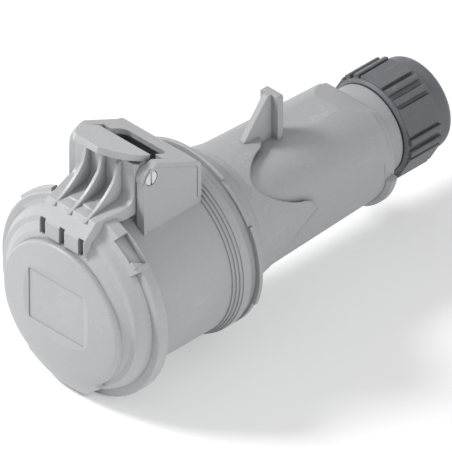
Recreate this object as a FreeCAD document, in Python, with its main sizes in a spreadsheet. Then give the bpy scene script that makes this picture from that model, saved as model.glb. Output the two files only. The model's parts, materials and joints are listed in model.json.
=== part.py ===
import FreeCAD, Part
import math
import os
import Sketcher
from FreeCAD import Placement, Rotation, Vector

# Industrial trailing connector with a sprung, hinged lid.
# Frame: origin on the main axis in the plane of the socket's mouth, +Y towards the cable end, +Z up.
# The lid closes the mouth from the -Y side and swings up about a pin parallel to X.

doc = FreeCAD.newDocument("cable_coupler")
sheet = doc.addObject("Spreadsheet::Sheet", "sizes")

SIZES = {
    "main sizes": [
        ("coupler_length", 265.7, "crown of the lid to the outlet of the gland nut"),
        ("collar_diameter", 98.0, "outside of the round contact housing"),
        ("hinge_rise", 24.4, "hinge pin above the outside of the collar"),
    ],
    "front housing": [
        ("shroud_wall", 4.5, "wall of the shroud that takes the plug"),
        ("mouth_chamfer", 0.8, "bevel on the shroud's mouth"),
        ("socket_depth", 49.0, "mouth to the carrier's seat"),
        ("seat_thickness", 8.0, "thickness of the carrier's seat"),
        ("rear_wall", 6.0, "outside of the collar to the bore behind the seat"),
        ("collar_length", 59.3, "mouth to the first ring of the flange"),
        ("ring_step", 0.8, "height of each ring of the flange"),
        ("ring_width", 1.9, "width of each ring of the flange"),
        ("flange_height", 3.0, "flange above the collar"),
        ("flange_width", 5.3, "flange behind its rings"),
        ("spigot_step", 3.0, "spigot smaller than the collar"),
        ("spigot_length", 9.0, "length of that spigot"),
        ("seal_groove_depth", 1.6, "groove for the housing seal"),
        ("seal_groove_width", 2.8, "groove for the housing seal"),
        ("seal_groove_start", 3.0, "joint plane to the seal groove"),
        ("keyway_width", 10.0, "guide keyway inside the shroud"),
        ("keyway_depth", 2.2, "guide keyway inside the shroud"),
        ("keyway_length", 40.0, "guide keyway inside the shroud"),
    ],
    "hinge hood": [
        ("hood_half_width", 26.7, "outside of the hood's cheeks"),
        ("cheek_thickness", 3.2, "wall of a cheek"),
        ("hood_front", 5.8, "pin to the front edge of the cheeks"),
        ("hood_rear", 35.5, "pin to the rear wall of the hood"),
        ("cheek_sink", 1.5, "cheeks end inside the collar's wall"),
        ("hood_peak_run", 4.8, "pin to the start of the sloping top"),
        ("hood_peak_rise", 7.2, "sloping top above the pin"),
        ("hood_tail_run", 29.5, "pin to the end of the sloping top"),
        ("hood_tail_drop", 4.1, "end of the sloping top below the pin"),
        ("hood_plate", 3.0, "thickness of the hood's top and rear wall"),
        ("front_round", 10.6, "round of the cheek's upper front corner"),
        ("rear_round", 6.0, "round of the hood's upper rear corner"),
        ("lip_height", 0.5, "raised lip on the outside of a cheek"),
        ("lip_width", 2.6, "width of that lip"),
        ("lip_foot", 6.0, "cheek's lip ends above the hood's foot"),
        ("jamb_depth", 2.6, "thickened front edge of a cheek"),
        ("jamb_inner", 21.7, "half the gap between the thickened edges"),
        ("window_half_width", 16.0, "rear part of the window in the hood's top"),
        ("window_rear", 23.5, "pin to the rear edge of that window"),
        ("window_step", 13.6, "pin to where the window gets wider"),
        ("window_corner", 5.0, "round of the window's rear corners"),
    ],
    "hinge": [
        ("pin_y", 23.5, "hinge pin behind the mouth"),
        ("pin_radius", 3.0, "hinge pin"),
        ("pin_clearance", 0.06, "radial play of the lid on the pin"),
        ("pin_head_radius", 3.9, "slotted head of the pin"),
        ("pin_head_height", 1.5, "slotted head of the pin"),
        ("pin_head_gap", 0.4, "recess round the pin's head"),
        ("pin_slot_width", 1.2, "slot in the pin's head"),
        ("hub_radius", 6.5, "barrel of the lid round the pin"),
        ("hub_half_width", 20.7, "barrel of the lid round the pin"),
        ("hub_side_gap", 0.3, "barrel to the hood's inner bosses"),
        ("boss_radius", 6.0, "bosses inside the hood's cheeks"),
        ("spring_wire_radius", 0.7, "torsion spring"),
        ("spring_coil_radius", 4.4, "torsion spring, centre of the wire"),
        ("spring_turns", 6.0, "torsion spring"),
        ("spring_pitch", 1.7, "torsion spring"),
        ("spring_slot_half_width", 7.0, "gap in the barrel that holds the spring"),
        ("spring_slot_radius", 6.7, "gap in the barrel that holds the spring"),
        ("spring_foot", 16.5, "pin to where the spring's long leg stands"),
    ],
    "lid": [
        ("dome_apex_y", -20.7, "foremost point of the lid"),
        ("dome_sphere_radius", 196.0, "crown of the lid's face"),
        ("pad_step", 8.8, "raised face inside the skirt's bore"),
        ("pad_edge", 1.6, "round of the raised face"),
        ("pad_drop", 5.0, "raised face set lower than the main axis"),
        ("crown_radius", 38.0, "end of the spherical crown"),
        ("crown_bend_reach", 6.1, "bend outside the crown"),
        ("crown_bend_y", -15.2, "bend outside the crown"),
        ("crown_slope_reach", 11.7, "start of the slope outside that bend"),
        ("crown_slope_y", -12.3, "start of the slope outside that bend"),
        ("crown_end_reach", 19.0, "end of that slope"),
        ("crown_end_y", -7.5, "end of that slope"),
        ("groove_step", 4.8, "floor of the crescent inside the skirt's bore"),
        ("groove_y", -10.2, "outer edge of the crescent"),
        ("groove_inner_y", -12.8, "inner edge of the crescent"),
        ("brim_step", 1.0, "first step of the lid's side inside the skirt's bore"),
        ("brim_front_y", -9.0, "first step of the lid's side"),
        ("side_wall", 1.2, "side of the lid outside the skirt's bore"),
        ("side_front_y", -5.0, "side of the lid"),
        ("side_rear_wall", 2.1, "side of the lid at the rim"),
        ("rim_wall", 7.3, "rim round the lid outside the skirt's bore"),
        ("rim_front_y", -1.5, "front of the rim"),
        ("rim_rear_y", 5.4, "rear of the rim"),
        ("rim_chamfer", 0.7, "bevel of the rim"),
        ("skirt_gap", 1.3, "inside of the rim, clear of the collar"),
        ("lid_floor_y", -11.0, "inside face of the lid"),
        ("lid_bore_step", 3.0, "hollow of the lid inside the shroud's bore"),
        ("gasket_seat_y", -2.4, "seat of the gasket"),
        ("gasket_gap", 0.1, "gasket to the mouth"),
        ("gasket_overlap", 1.3, "rubber ring inside the shroud's bore"),
        ("gasket_side_gap", 0.2, "rubber ring to the lid's wall"),
        ("lip_tip_x", 24.6, "where the crescent ends at the bottom"),
        ("lip_tip_rise", 20.1, "end of the crescent above the rim's lowest point"),
        ("lip_side_x", 25.5, "widest part of the lip under the face"),
        ("lip_side_rise", 16.6, "widest part of the lip under the face"),
        ("lip_waist_x", 17.5, "hollow side of that lip"),
        ("lip_waist_rise", 9.8, "hollow side of that lip"),
        ("lip_foot_half", 9.5, "half the flat at the lip's bottom"),
        ("lip_foot_rise", 1.6, "flat at the lip's bottom"),
        ("foot_cut", 1.0, "flat that the rim rests on"),
        ("badge_half_width", 20.0, "bare recess in the face"),
        ("badge_half_height", 15.5, "bare recess in the face"),
        ("badge_z", 0.6, "bare recess in the face"),
        ("badge_floor_y", -18.3, "bare recess in the face"),
        ("badge_step", 0.5, "upright edge of the recess"),
        ("badge_flare", 12.0, "slope outside the recess's edge"),
        ("badge_reach", 1.7, "slope outside the recess's edge"),
        ("badge_corner", 1.2, "round of the recess's corners"),
        ("crest_start", 18.0, "raised part of the rim, angle from the top"),
        ("crest_sweep", 32.5, "raised part of the rim"),
        ("left_crest_start", -49.0, "raised crescent on the other side"),
        ("left_crest_sweep", 27.0, "raised crescent on the other side"),
        ("left_crest_height", 1.7, "raised crescent above the rim"),
        ("catch_angle", 38.7, "window in the rim, angle from the top"),
        ("catch_length", 18.0, "window in the rim"),
        ("catch_front_y", -3.3, "window in the rim"),
        ("catch_rear_y", 4.1, "window in the rim"),
        ("catch_depth", 4.0, "window in the rim"),
        ("catch_tooth", 4.0, "raised tooth beside the window"),
    ],
    "lid arm": [
        ("arm_foot_y", -14.7, "lower edge of the arm's foot"),
        ("arm_foot_step", 3.7, "lower edge of the foot inside the skirt's bore"),
        ("arm_foot_half", 16.2, "half the arm's width at its foot"),
        ("arm_neck_y", -7.2, "shoulder of the arm"),
        ("arm_neck_rise", 5.7, "shoulder of the arm above the skirt's bore"),
        ("arm_floor_rise", 7.7, "floor between the ribs above the skirt's bore"),
        ("arm_back_rise", 1.0, "underside of the arm above the skirt's bore"),
        ("arm_half", 21.0, "half the arm's width at the hinge"),
        ("arm_wall_run", 7.0, "upright wall of the arm to the pin"),
        ("arm_wall", 4.0, "thickness of that wall"),
        ("arm_bend", 6.0, "inner bend between floor and wall"),
        ("rib_tip_y", -9.5, "front tip of a rib"),
        ("rib_tip_rise", 4.8, "front tip of a rib above the skirt's bore"),
        ("rib_mid_y", 3.4, "middle of a rib's hollow edge"),
        ("rib_mid_rise", 12.0, "middle of that edge above the skirt's bore"),
        ("rib_knee_run", 12.1, "knee of a rib to the pin"),
        ("rib_knee_drop", 3.0, "knee of a rib below the pin"),
        ("rib_bow_run", 10.6, "bowed upper edge of a rib to the pin"),
        ("rib_bow_rise", 1.6, "bowed upper edge of a rib above the pin"),
        ("rib_top_run", 9.7, "top of a rib to the pin"),
        ("rib_top_rise", 6.2, "top of a rib above the pin"),
        ("rib_thickness", 1.8, "rib"),
        ("rib_spacing", 11.3, "rib to rib"),
        ("notch_width", 3.8, "notch under the arm's foot"),
        ("notch_spacing", 13.8, "notch to notch"),
        ("notch_depth_z", 9.2, "height of a notch"),
        ("notch_cut", 3.6, "depth of a notch into the lid"),
        ("notch_lead", 6.0, "cut starting in front of the foot"),
        ("tab_rear_run", 7.4, "pin to the straight rear edge of the thumb tab"),
        ("tab_rear_rise", 7.2, "that edge above the pin"),
        ("tab_tilt", 25.5, "slope of the thumb tab"),
        ("tab_length", 30.0, "thumb tab along its slope"),
        ("tab_thickness", 3.4, "thumb tab"),
        ("tab_half_rear", 18.6, "half the tab's width at the rear"),
        ("tab_half_front", 8.2, "half the straight front edge"),
        ("tab_half_mid", 15.8, "half the tab's width further forward"),
        ("tab_mid_length", 21.0, "where that width is"),
    ],
    "rear housing": [
        ("neck_step", 1.4, "ring between the two flanges, below them"),
        ("neck_length", 4.6, "ring between the two flanges"),
        ("second_flange_width", 2.8, "flange of the rear housing"),
        ("lock_rib_height", 1.6, "raised lengths on that flange"),
        ("lock_rib_top_half", 29.0, "half angle of the top and bottom lengths"),
        ("lock_rib_side_half", 26.0, "half angle of the side lengths"),
        ("dome_step", 1.5, "domed shoulder below the flange"),
        ("shoulder_radius", 40.0, "foot of the domed shoulder"),
        ("shoulder_run", 20.5, "joint to the foot of the domed shoulder"),
        ("shoulder_bulge", 0.9, "crown of the shoulder"),
        ("grip_front_run", 26.8, "joint to the start of the hand grip"),
        ("grip_root", 8.0, "grip running on inside the shoulder"),
        ("grip_front_radius", 36.7, "hand grip at its corners, front"),
        ("grip_rear_radius", 32.9, "hand grip at its corners, rear"),
        ("grip_flat", 31.8, "flats of the hand grip from the axis"),
        ("grip_flat_half", 9.1, "half the width of a flat"),
        ("tongue_front_radius", 38.0, "shoulder tongues at the start of the grip"),
        ("tongue_rear_radius", 35.4, "shoulder tongue at its tip"),
        ("tongue_end_run", 72.7, "joint to the end of the tongues' blank"),
        ("scoop_front_run", 29.9, "joint to the front of the hollow between two tongues"),
        ("scoop_side_run", 65.1, "joint to the tip of a side tongue"),
        ("scoop_top_run", 57.2, "joint to the tip of the top and bottom tongue"),
        ("scoop_half", 28.5, "half the width of a hollow"),
        ("scoop_tip_bend", 9.0, "upper hollow: from the top tongue's tip to where its side straightens"),
        ("scoop_top_flank", 8.1, "upper hollow: from its front to the top tongue's side"),
        ("scoop_side_flank", 12.3, "upper hollow: from its front to the side tongue's side"),
        ("scoop_side_bend", 10.9, "upper hollow: from the side tongue's tip to its bend"),
        ("scoop_low_bend", 14.4, "lower hollow: from the side tongue's tip to its bend"),
        ("scoop_low_flank", 7.6, "lower hollow: from its front to the side tongue's side"),
        ("scoop_foot_flank", 9.3, "lower hollow: from its front to the bottom tongue's side"),
        ("scoop_foot_bend", 9.5, "lower hollow: from the bottom tongue's tip to its bend"),
        ("scoop_floor", 14.0, "depth that the hollows are cut to, inside the grip"),
        ("cavity_radius", 28.4, "hollow of the hand grip"),
        ("wall_thickness", 3.4, "wall of the shoulder"),
        ("socket_clearance", 0.2, "rear housing round the spigot"),
        ("tail_length", 14.3, "slope behind the top flat"),
        ("tail_ring_radius", 32.1, "rounded ring behind the grip"),
        ("tail_ring_width", 4.0, "rounded ring behind the grip"),
        ("tail_ring_round", 1.8, "rounded ring behind the grip"),
        ("tail_drop", 6.5, "depth of that slope at its end"),
        ("heel_radius", 36.0, "rim under the rear end"),
        ("heel_overhang", 3.0, "rim under the rear end behind the grip"),
        ("heel_width", 6.6, "rim under the rear end"),
        ("heel_half_angle", 78.0, "rim under the rear end"),
        ("heel_round", 1.6, "bevel of that rim"),
        ("gland_neck_radius", 25.4, "smooth neck in front of the nut"),
        ("gland_neck_length", 13.6, "from the rim to the nut"),
        ("nut_lap", 0.4, "thread starts in front of the nut"),
    ],
    "fin": [
        ("fin_run", 64.9, "joint to the upright plate of the fin"),
        ("fin_plate", 3.9, "thickness of that plate"),
        ("fin_half_width", 6.3, "half the plate's width"),
        ("fin_rise", 26.4, "top of the fin above the flat"),
        ("fin_gusset_length", 19.8, "gusset in front of the plate"),
        ("fin_toe_rise", 5.6, "front end of the gusset above the flat"),
        ("fin_gusset", 3.6, "thickness of the gusset"),
        ("fin_nose", 3.6, "flat at the gusset's top"),
        ("fin_chamfer", 1.0, "bevel of the plate's top corners"),
    ],
    "cable gland": [
        ("thread_radius", 24.0, "threaded end of the rear housing"),
        ("thread_length", 18.0, "threaded end of the rear housing"),
        ("gland_bore_radius", 21.0, "bore for the sealing bush"),
        ("gland_throat_radius", 16.0, "cable way through the rear wall"),
        ("gland_seat_lead", 5.6, "seat of the sealing bush in front of the nut"),
        ("thread_clearance", 0.1, "nut on its thread"),
        ("bush_length", 12.0, "sealing bush"),
        ("bush_gap", 0.1, "sealing bush in its bore"),
        ("cable_radius", 14.0, "bore of the sealing bush, the cable's radius"),
        ("clamp_length", 11.8, "clamping ring"),
        ("clamp_bore_radius", 14.6, "clamping ring"),
        ("clamp_slot_width", 1.6, "slots of the clamping ring"),
        ("clamp_slot_count", 8, "slots of the clamping ring"),
        ("clamp_chamfer", 2.2, "cone that the thrust ring presses on"),
        ("thrust_length", 2.2, "thrust ring"),
        ("thrust_bore_radius", 15.4, "thrust ring"),
        ("thrust_radius", 23.4, "thrust ring"),
        ("nut_body_radius", 27.5, "gland nut between its ribs"),
        ("nut_front_radius", 26.8, "front edge of the nut"),
        ("nut_rib_radius", 30.0, "ribs of the nut"),
        ("nut_flat_radius", 28.4, "broad flats of the nut"),
        ("nut_flat_half", 7.5, "half the width of a flat"),
        ("nut_rib_half", 1.75, "half the width of a rib"),
        ("nut_rib_angle", 7.0, "rib to the corner between two flats"),
        ("nut_rib_bevel", 0.6, "bevel of a rib"),
        ("nut_rib_start", 1.4, "front edge of the nut to its ribs"),
        ("nut_rib_length", 22.4, "ribs of the nut"),
        ("nut_length", 36.4, "gland nut"),
        ("nut_collar_radius", 26.3, "ring behind the ribs"),
        ("nut_outlet_radius", 18.0, "cable outlet of the nut"),
        ("nut_dome", 4.8, "round of the nut's rear edge"),
        ("nut_flat_count", 6, "broad flats of the nut"),
    ],
    "contacts": [
        ("carrier_radius", 33.5, "front part of the contact carrier"),
        ("carrier_face_y", 4.0, "front face of the carrier behind the mouth"),
        ("carrier_play", 0.3, "carrier in the housing"),
        ("carrier_ledge", 2.9, "flange that sits on the seat"),
        ("carrier_flange", 6.0, "thickness of that flange"),
        ("cover_thickness", 6.5, "plate behind the contacts"),
        ("cover_gap", 0.4, "that plate in the housing"),
        ("contact_pitch_radius", 20.0, "circle of the contacts"),
        ("contact_count", 5, "contacts on that circle"),
        ("pin_hole_radius", 4.7, "openings in the carrier's face"),
        ("earth_extra", 1.0, "earth contact larger by"),
        ("face_web", 6.0, "carrier's face in front of the chambers"),
        ("contact_play", 0.2, "contact in its chamber"),
        ("contact_bore_radius", 4.05, "socket for a plug's pin"),
        ("contact_radius", 6.2, "socket"),
        ("contact_bore_depth", 34.0, "socket"),
        ("contact_collar_radius", 7.4, "collar that the cover holds"),
        ("contact_collar", 2.9, "collar that the cover holds"),
        ("terminal_radius", 6.8, "screw terminal"),
        ("terminal_length", 20.0, "screw terminal"),
        ("wire_bore_radius", 4.2, "bore for the stripped wire"),
        ("wire_bore_depth", 16.0, "bore for the stripped wire"),
        ("contact_slit", 1.0, "slits that make the socket springy"),
        ("contact_slit_length", 28.0, "slits that make the socket springy"),
        ("spring_groove_depth", 0.8, "groove for the spring ring"),
        ("spring_groove_width", 1.1, "groove for the spring ring"),
        ("spring_groove_start", 3.0, "groove for the spring ring"),
        ("screw_radius", 2.4, "terminal screw"),
        ("screw_play", 0.1, "terminal screw in its thread"),
        ("screw_length", 5.2, "terminal screw"),
        ("screw_start", 4.4, "inner end of the screw above the wire's axis"),
        ("screw_slot", 0.8, "slot of a screw"),
        ("first_screw", 5.0, "terminal's rear end to its first screw"),
        ("screw_pitch", 8.0, "screw to screw"),
        ("pilot_radius", 3.0, "pilot contact"),
        ("pilot_bore_radius", 1.8, "pilot contact"),
        ("pilot_collar_radius", 3.9, "pilot contact"),
        ("pilot_length", 14.0, "pilot contact behind its collar"),
        ("cover_screw_inset", 3.4, "screws of the cover inside the housing's bore"),
        ("cover_screw_radius", 1.55, "screws of the cover"),
        ("cover_screw_head", 2.9, "screws of the cover"),
        ("cover_screw_head_height", 2.2, "screws of the cover"),
        ("cover_screw_depth", 5.6, "screws of the cover in the housing"),
        ("cover_screw_count", 3, "screws of the cover"),
        ("earth_angle", 180.0, "earth contact, angle from the top"),
    ],
}


class Dim:
    """A size: its value now, and the sheet formula that keeps it current."""

    def __init__(self, value, formula=None):
        self.value = float(value)
        self.formula = formula or f"({value})"

    def join(self, other, sign, result):
        other = other if isinstance(other, Dim) else Dim(other)
        return Dim(result(self.value, other.value), f"({self.formula} {sign} {other.formula})")

    def __add__(self, other):
        return self.join(other, "+", lambda a, b: a + b)

    def __sub__(self, other):
        return self.join(other, "-", lambda a, b: a - b)

    def __mul__(self, other):
        return self.join(other, "*", lambda a, b: a * b)

    def __truediv__(self, other):
        return self.join(other, "/", lambda a, b: a / b)

    def __neg__(self):
        return Dim(-self.value, f"(0 - {self.formula})")

    def __float__(self):
        return self.value

    def is_zero(self):
        return self.formula == "(0)"


def sine(angle):
    return Dim(math.sin(math.radians(float(angle))), f"sin({angle.formula} * 1 deg)")


def cosine(angle):
    return Dim(math.cos(math.radians(float(angle))), f"cos({angle.formula} * 1 deg)")


def root(size):
    return Dim(math.sqrt(float(size)), f"sqrt({size.formula})")


class Sizes:
    """Writes the driving sizes into the sheet and hands them out by name."""

    def __init__(self):
        row = 1
        for group, entries in SIZES.items():
            sheet.set(f"A{row}", group)
            row += 1
            for alias, value, note in entries:
                sheet.set(f"A{row}", alias)
                sheet.set(f"B{row}", str(value))
                sheet.set(f"C{row}", note)
                sheet.setAlias(f"B{row}", alias)
                setattr(self, alias, Dim(value, f"sizes.{alias}"))
                row += 1


def derive(s):
    """Places and radii that follow from the sizes in the sheet."""
    s.collar_radius = s.collar_diameter / 2
    s.mouth_bore_radius = s.collar_radius - s.shroud_wall
    s.rear_bore_radius = s.collar_radius - s.rear_wall
    s.seat_bore_radius = s.carrier_radius + s.carrier_play
    s.spigot_radius = s.collar_radius - s.spigot_step
    s.flange_radius = s.collar_radius + s.flange_height
    s.joint_y = s.collar_length + s.ring_width * 3 + s.flange_width
    s.seat_rear_y = s.socket_depth + s.seat_thickness
    s.carrier_rear_y = s.seat_rear_y + s.carrier_flange
    s.carrier_flange_radius = s.carrier_radius + s.carrier_ledge
    s.cover_radius = s.rear_bore_radius - s.cover_gap
    s.cover_screw_circle = s.rear_bore_radius - s.cover_screw_inset
    s.pin_z = s.collar_radius + s.hinge_rise
    s.pin_recess_radius = s.pin_head_radius + s.pin_head_gap
    s.hood_front_y = s.pin_y - s.hood_front
    s.hood_rear_y = s.pin_y + s.hood_rear
    s.hood_peak_y = s.pin_y + s.hood_peak_run
    s.hood_peak_z = s.pin_z + s.hood_peak_rise
    s.hood_tail_y = s.pin_y + s.hood_tail_run
    s.hood_tail_z = s.pin_z - s.hood_tail_drop
    s.hood_base_z = root(s.collar_radius * s.collar_radius
                         - s.hood_half_width * s.hood_half_width) - s.cheek_sink
    s.window_rear_y = s.pin_y + s.window_rear
    s.window_step_y = s.pin_y + s.window_step
    s.spring_foot_y = s.pin_y + s.spring_foot
    s.skirt_bore_radius = s.collar_radius + s.skirt_gap
    s.rim_radius = s.skirt_bore_radius + s.rim_wall
    s.left_crest_radius = s.rim_radius + s.left_crest_height
    s.side_radius = s.skirt_bore_radius + s.side_wall
    s.side_rear_radius = s.skirt_bore_radius + s.side_rear_wall
    s.brim_radius = s.skirt_bore_radius - s.brim_step
    s.groove_outer_radius = s.skirt_bore_radius - s.groove_step
    s.pad_radius = s.skirt_bore_radius - s.pad_step
    s.lid_bore_radius = s.mouth_bore_radius - s.lid_bore_step
    s.gasket_inner_radius = s.mouth_bore_radius - s.gasket_overlap
    s.arm_foot_z = s.skirt_bore_radius - s.arm_foot_step
    s.arm_neck_z = s.skirt_bore_radius + s.arm_neck_rise
    s.arm_floor_z = s.skirt_bore_radius + s.arm_floor_rise
    s.arm_back_z = s.skirt_bore_radius + s.arm_back_rise
    s.arm_wall_y = s.pin_y - s.arm_wall_run
    s.rib_top_z = s.pin_z + s.rib_top_rise
    s.shoulder_y = s.joint_y + s.shoulder_run
    s.grip_front_y = s.joint_y + s.grip_front_run
    s.tongue_end_y = s.joint_y + s.tongue_end_run
    s.scoop_front_y = s.joint_y + s.scoop_front_run
    s.scoop_side_y = s.joint_y + s.scoop_side_run
    s.scoop_top_y = s.joint_y + s.scoop_top_run
    s.fin_plate_y = s.joint_y + s.fin_run
    s.nut_rear_y = s.dome_apex_y + s.coupler_length
    s.nut_front_y = s.nut_rear_y - s.nut_length
    s.heel_end_y = s.nut_front_y - s.gland_neck_length
    s.grip_rear_y = s.heel_end_y - s.heel_overhang
    s.tail_drop_y = s.grip_rear_y - s.tail_length
    s.thread_start_y = s.nut_front_y - s.nut_lap
    s.gland_seat_y = s.nut_front_y - s.gland_seat_lead


size = Sizes()
derive(size)
doc.recompute()
ZERO = Dim(0)


class Via(tuple):
    """A point that the arc to the next corner passes through."""


def make_body(name):
    body = doc.addObject("PartDesign::Body", name)
    body.Label = name
    return body


def bind(item, prop, value):
    """Sets a property, and ties it to the sheet where the value is a size."""
    if isinstance(value, Dim):
        item.setExpression(prop, value.formula)
    else:
        setattr(item, prop, value)


def arc_edge(start, middle, end):
    """An arc through three points, counted anticlockwise, and whether it runs from start to end."""
    turn = (middle - start).cross(end - middle).z
    circle = Part.Circle(start, middle, end) if turn > 0 else Part.Circle(end, middle, start)
    centre = circle.Center
    first, last = (start, end) if turn > 0 else (end, start)
    low = math.atan2(first.y - centre.y, first.x - centre.x)
    high = math.atan2(last.y - centre.y, last.x - centre.x)
    if high < low:
        high += 2 * math.pi
    upright = Part.Circle(centre, Vector(0, 0, 1), circle.Radius)
    return Part.ArcOfCircle(upright, low, high), turn > 0


def pin_point(sketch, geometry, position, corner):
    """Fixes one point of a sketch at sheet-driven distances from the sketch's origin."""
    for kind, value, axis in (("DistanceX", corner[0], -2), ("DistanceY", corner[1], -1)):
        if value.is_zero():
            sketch.addConstraint(Sketcher.Constraint("PointOnObject", geometry, position, axis))
        else:
            index = sketch.addConstraint(
                Sketcher.Constraint(kind, -1, 1, geometry, position, float(value)))
            sketch.setExpression(f"Constraints[{index}]", value.formula)


def as_dims(pair):
    return [value if isinstance(value, Dim) else Dim(value) for value in pair]


def add_outline(sketch, steps):
    """A closed outline: corners joined by lines, or by an arc where a Via stands between them."""
    corners, vias = [], {}
    for step in steps:
        if isinstance(step, Via):
            vias[len(corners) - 1] = as_dims(step)
        else:
            corners.append(as_dims(step))
    ends = []
    for number, corner in enumerate(corners):
        following = corners[(number + 1) % len(corners)]
        start = Vector(float(corner[0]), float(corner[1]), 0)
        end = Vector(float(following[0]), float(following[1]), 0)
        if number in vias:
            via = vias[number]
            arc, forward = arc_edge(start, Vector(float(via[0]), float(via[1]), 0), end)
            geometry = sketch.addGeometry(arc, False)
            mark = sketch.addGeometry(Part.Point(Vector(float(via[0]), float(via[1]), 0)), True)
            sketch.addConstraint(Sketcher.Constraint("PointOnObject", mark, 1, geometry))
            pin_point(sketch, mark, 1, via)
            ends.append((geometry, 1, 2) if forward else (geometry, 2, 1))
        else:
            geometry = sketch.addGeometry(Part.LineSegment(start, end), False)
            ends.append((geometry, 1, 2))
    for number, (geometry, first, last) in enumerate(ends):
        after = ends[(number + 1) % len(ends)]
        sketch.addConstraint(Sketcher.Constraint("Coincident", geometry, last, after[0], after[1]))
        pin_point(sketch, geometry, first, corners[number])


def add_circle(sketch, centre, radius):
    centre = as_dims(centre)
    middle = Vector(float(centre[0]), float(centre[1]), 0)
    geometry = sketch.addGeometry(Part.Circle(middle, Vector(0, 0, 1), float(radius)), False)
    index = sketch.addConstraint(Sketcher.Constraint("Radius", geometry, float(radius)))
    sketch.setExpression(f"Constraints[{index}]", radius.formula)
    pin_point(sketch, geometry, 3, centre)


def make_sketch(body, name, plane, outlines=(), circles=(), height=None, turn=None):
    """A sketch on one of the body's origin planes, raised along its normal and turned about an axis."""
    sketch = body.newObject("Sketcher::SketchObject", name)
    support = next(item for item in body.Origin.OriginFeatures if item.Role == plane + "_Plane")
    sketch.AttachmentSupport = [(support, "")]
    sketch.MapMode = "FlatFace"
    base = Vector(0, 0, float(height) if height is not None else 0)
    rotation = Rotation(turn[0], float(turn[1])) if turn else Rotation()
    sketch.AttachmentOffset = Placement(rotation.multVec(base), rotation)
    if height is not None and turn is None:
        sketch.setExpression("AttachmentOffset.Base.z", height.formula)
    if turn:
        sketch.setExpression("AttachmentOffset.Rotation.Angle", turn[1].formula)
    for steps in outlines:
        add_outline(sketch, steps)
    for centre, radius in circles:
        add_circle(sketch, centre, radius)
    return sketch


def add_feature(body, kind, name, profile, **settings):
    item = body.newObject("PartDesign::" + kind, name)
    item.Profile = profile
    for prop, value in settings.items():
        bind(item, prop, value)
    return item


def revolve(body, name, outline, cut=False, angle=None, start=None):
    """Turns an outline of (radius, y) corners about the main axis, or cuts that shape away."""
    turn = (Vector(0, 1, 0), start) if start is not None else None
    profile = make_sketch(body, name + "_profile", "XY", [outline], turn=turn)
    item = add_feature(body, "Groove" if cut else "Revolution", name, profile)
    item.ReferenceAxis = (profile, ["V_Axis"])
    if angle is not None:
        bind(item, "Angle", angle)
    return item


def extrude(body, name, plane, outlines=(), circles=(), cut=False, start=None, turn=None,
            length=None, both=False, back=False, draft=None):
    """Pads or pockets outlines drawn on an origin plane."""
    profile = make_sketch(body, name + "_outline", plane, outlines, circles, start, turn)
    item = add_feature(body, "Pocket" if cut else "Pad", name, profile)
    if both:
        item.SideType = "Symmetric"
    item.Reversed = back
    if length is None:
        item.Type = "ThroughAll"
    else:
        bind(item, "Length", length)
    if draft is not None:
        bind(item, "TaperAngle", draft)
    return item


def pattern_round(body, name, originals, count, axis_sketch):
    """Repeats features evenly about the axis normal to a sketch."""
    item = body.newObject("PartDesign::PolarPattern", name)
    item.Originals = originals
    item.Axis = (axis_sketch, ["N_Axis"])
    bind(item, "Occurrences", count)
    body.Tip = item
    return item


def mirror_across(body, name, originals, plane):
    item = body.newObject("PartDesign::Mirrored", name)
    item.Originals = originals
    support = next(part for part in body.Origin.OriginFeatures if part.Role == plane + "_Plane")
    item.MirrorPlane = (support, [""])
    body.Tip = item
    return item


def round_edge(body, name, base, radius, wanted):
    """Rounds the edges of a feature that the given test picks out."""
    doc.recompute()
    names = [f"Edge{number}" for number, edge in enumerate(base.Shape.Edges, 1) if wanted(edge)]
    item = body.newObject("PartDesign::Fillet", name)
    item.Base = (base, names)
    bind(item, "Radius", radius)
    return item


def rectangle(x_low, y_low, x_high, y_high):
    return [(x_low, y_low), (x_high, y_low), (x_high, y_high), (x_low, y_high)]


def rounded_rectangle(half_width, half_height, middle_z, corner):
    """Corners and arcs of an upright rectangle with rounded corners, centred on x = 0."""
    steps = []
    bend = corner * (1 - math.sqrt(0.5))
    for right, up in ((-1, -1), (1, -1), (1, 1), (-1, 1)):
        x, z = half_width * right, middle_z + half_height * up
        low, high = (x - corner * right, z), (x, z - corner * up)
        first, last = (high, low) if right == up else (low, high)
        steps += [first, Via((x - bend * right, z - bend * up)), last]
    return steps


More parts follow.
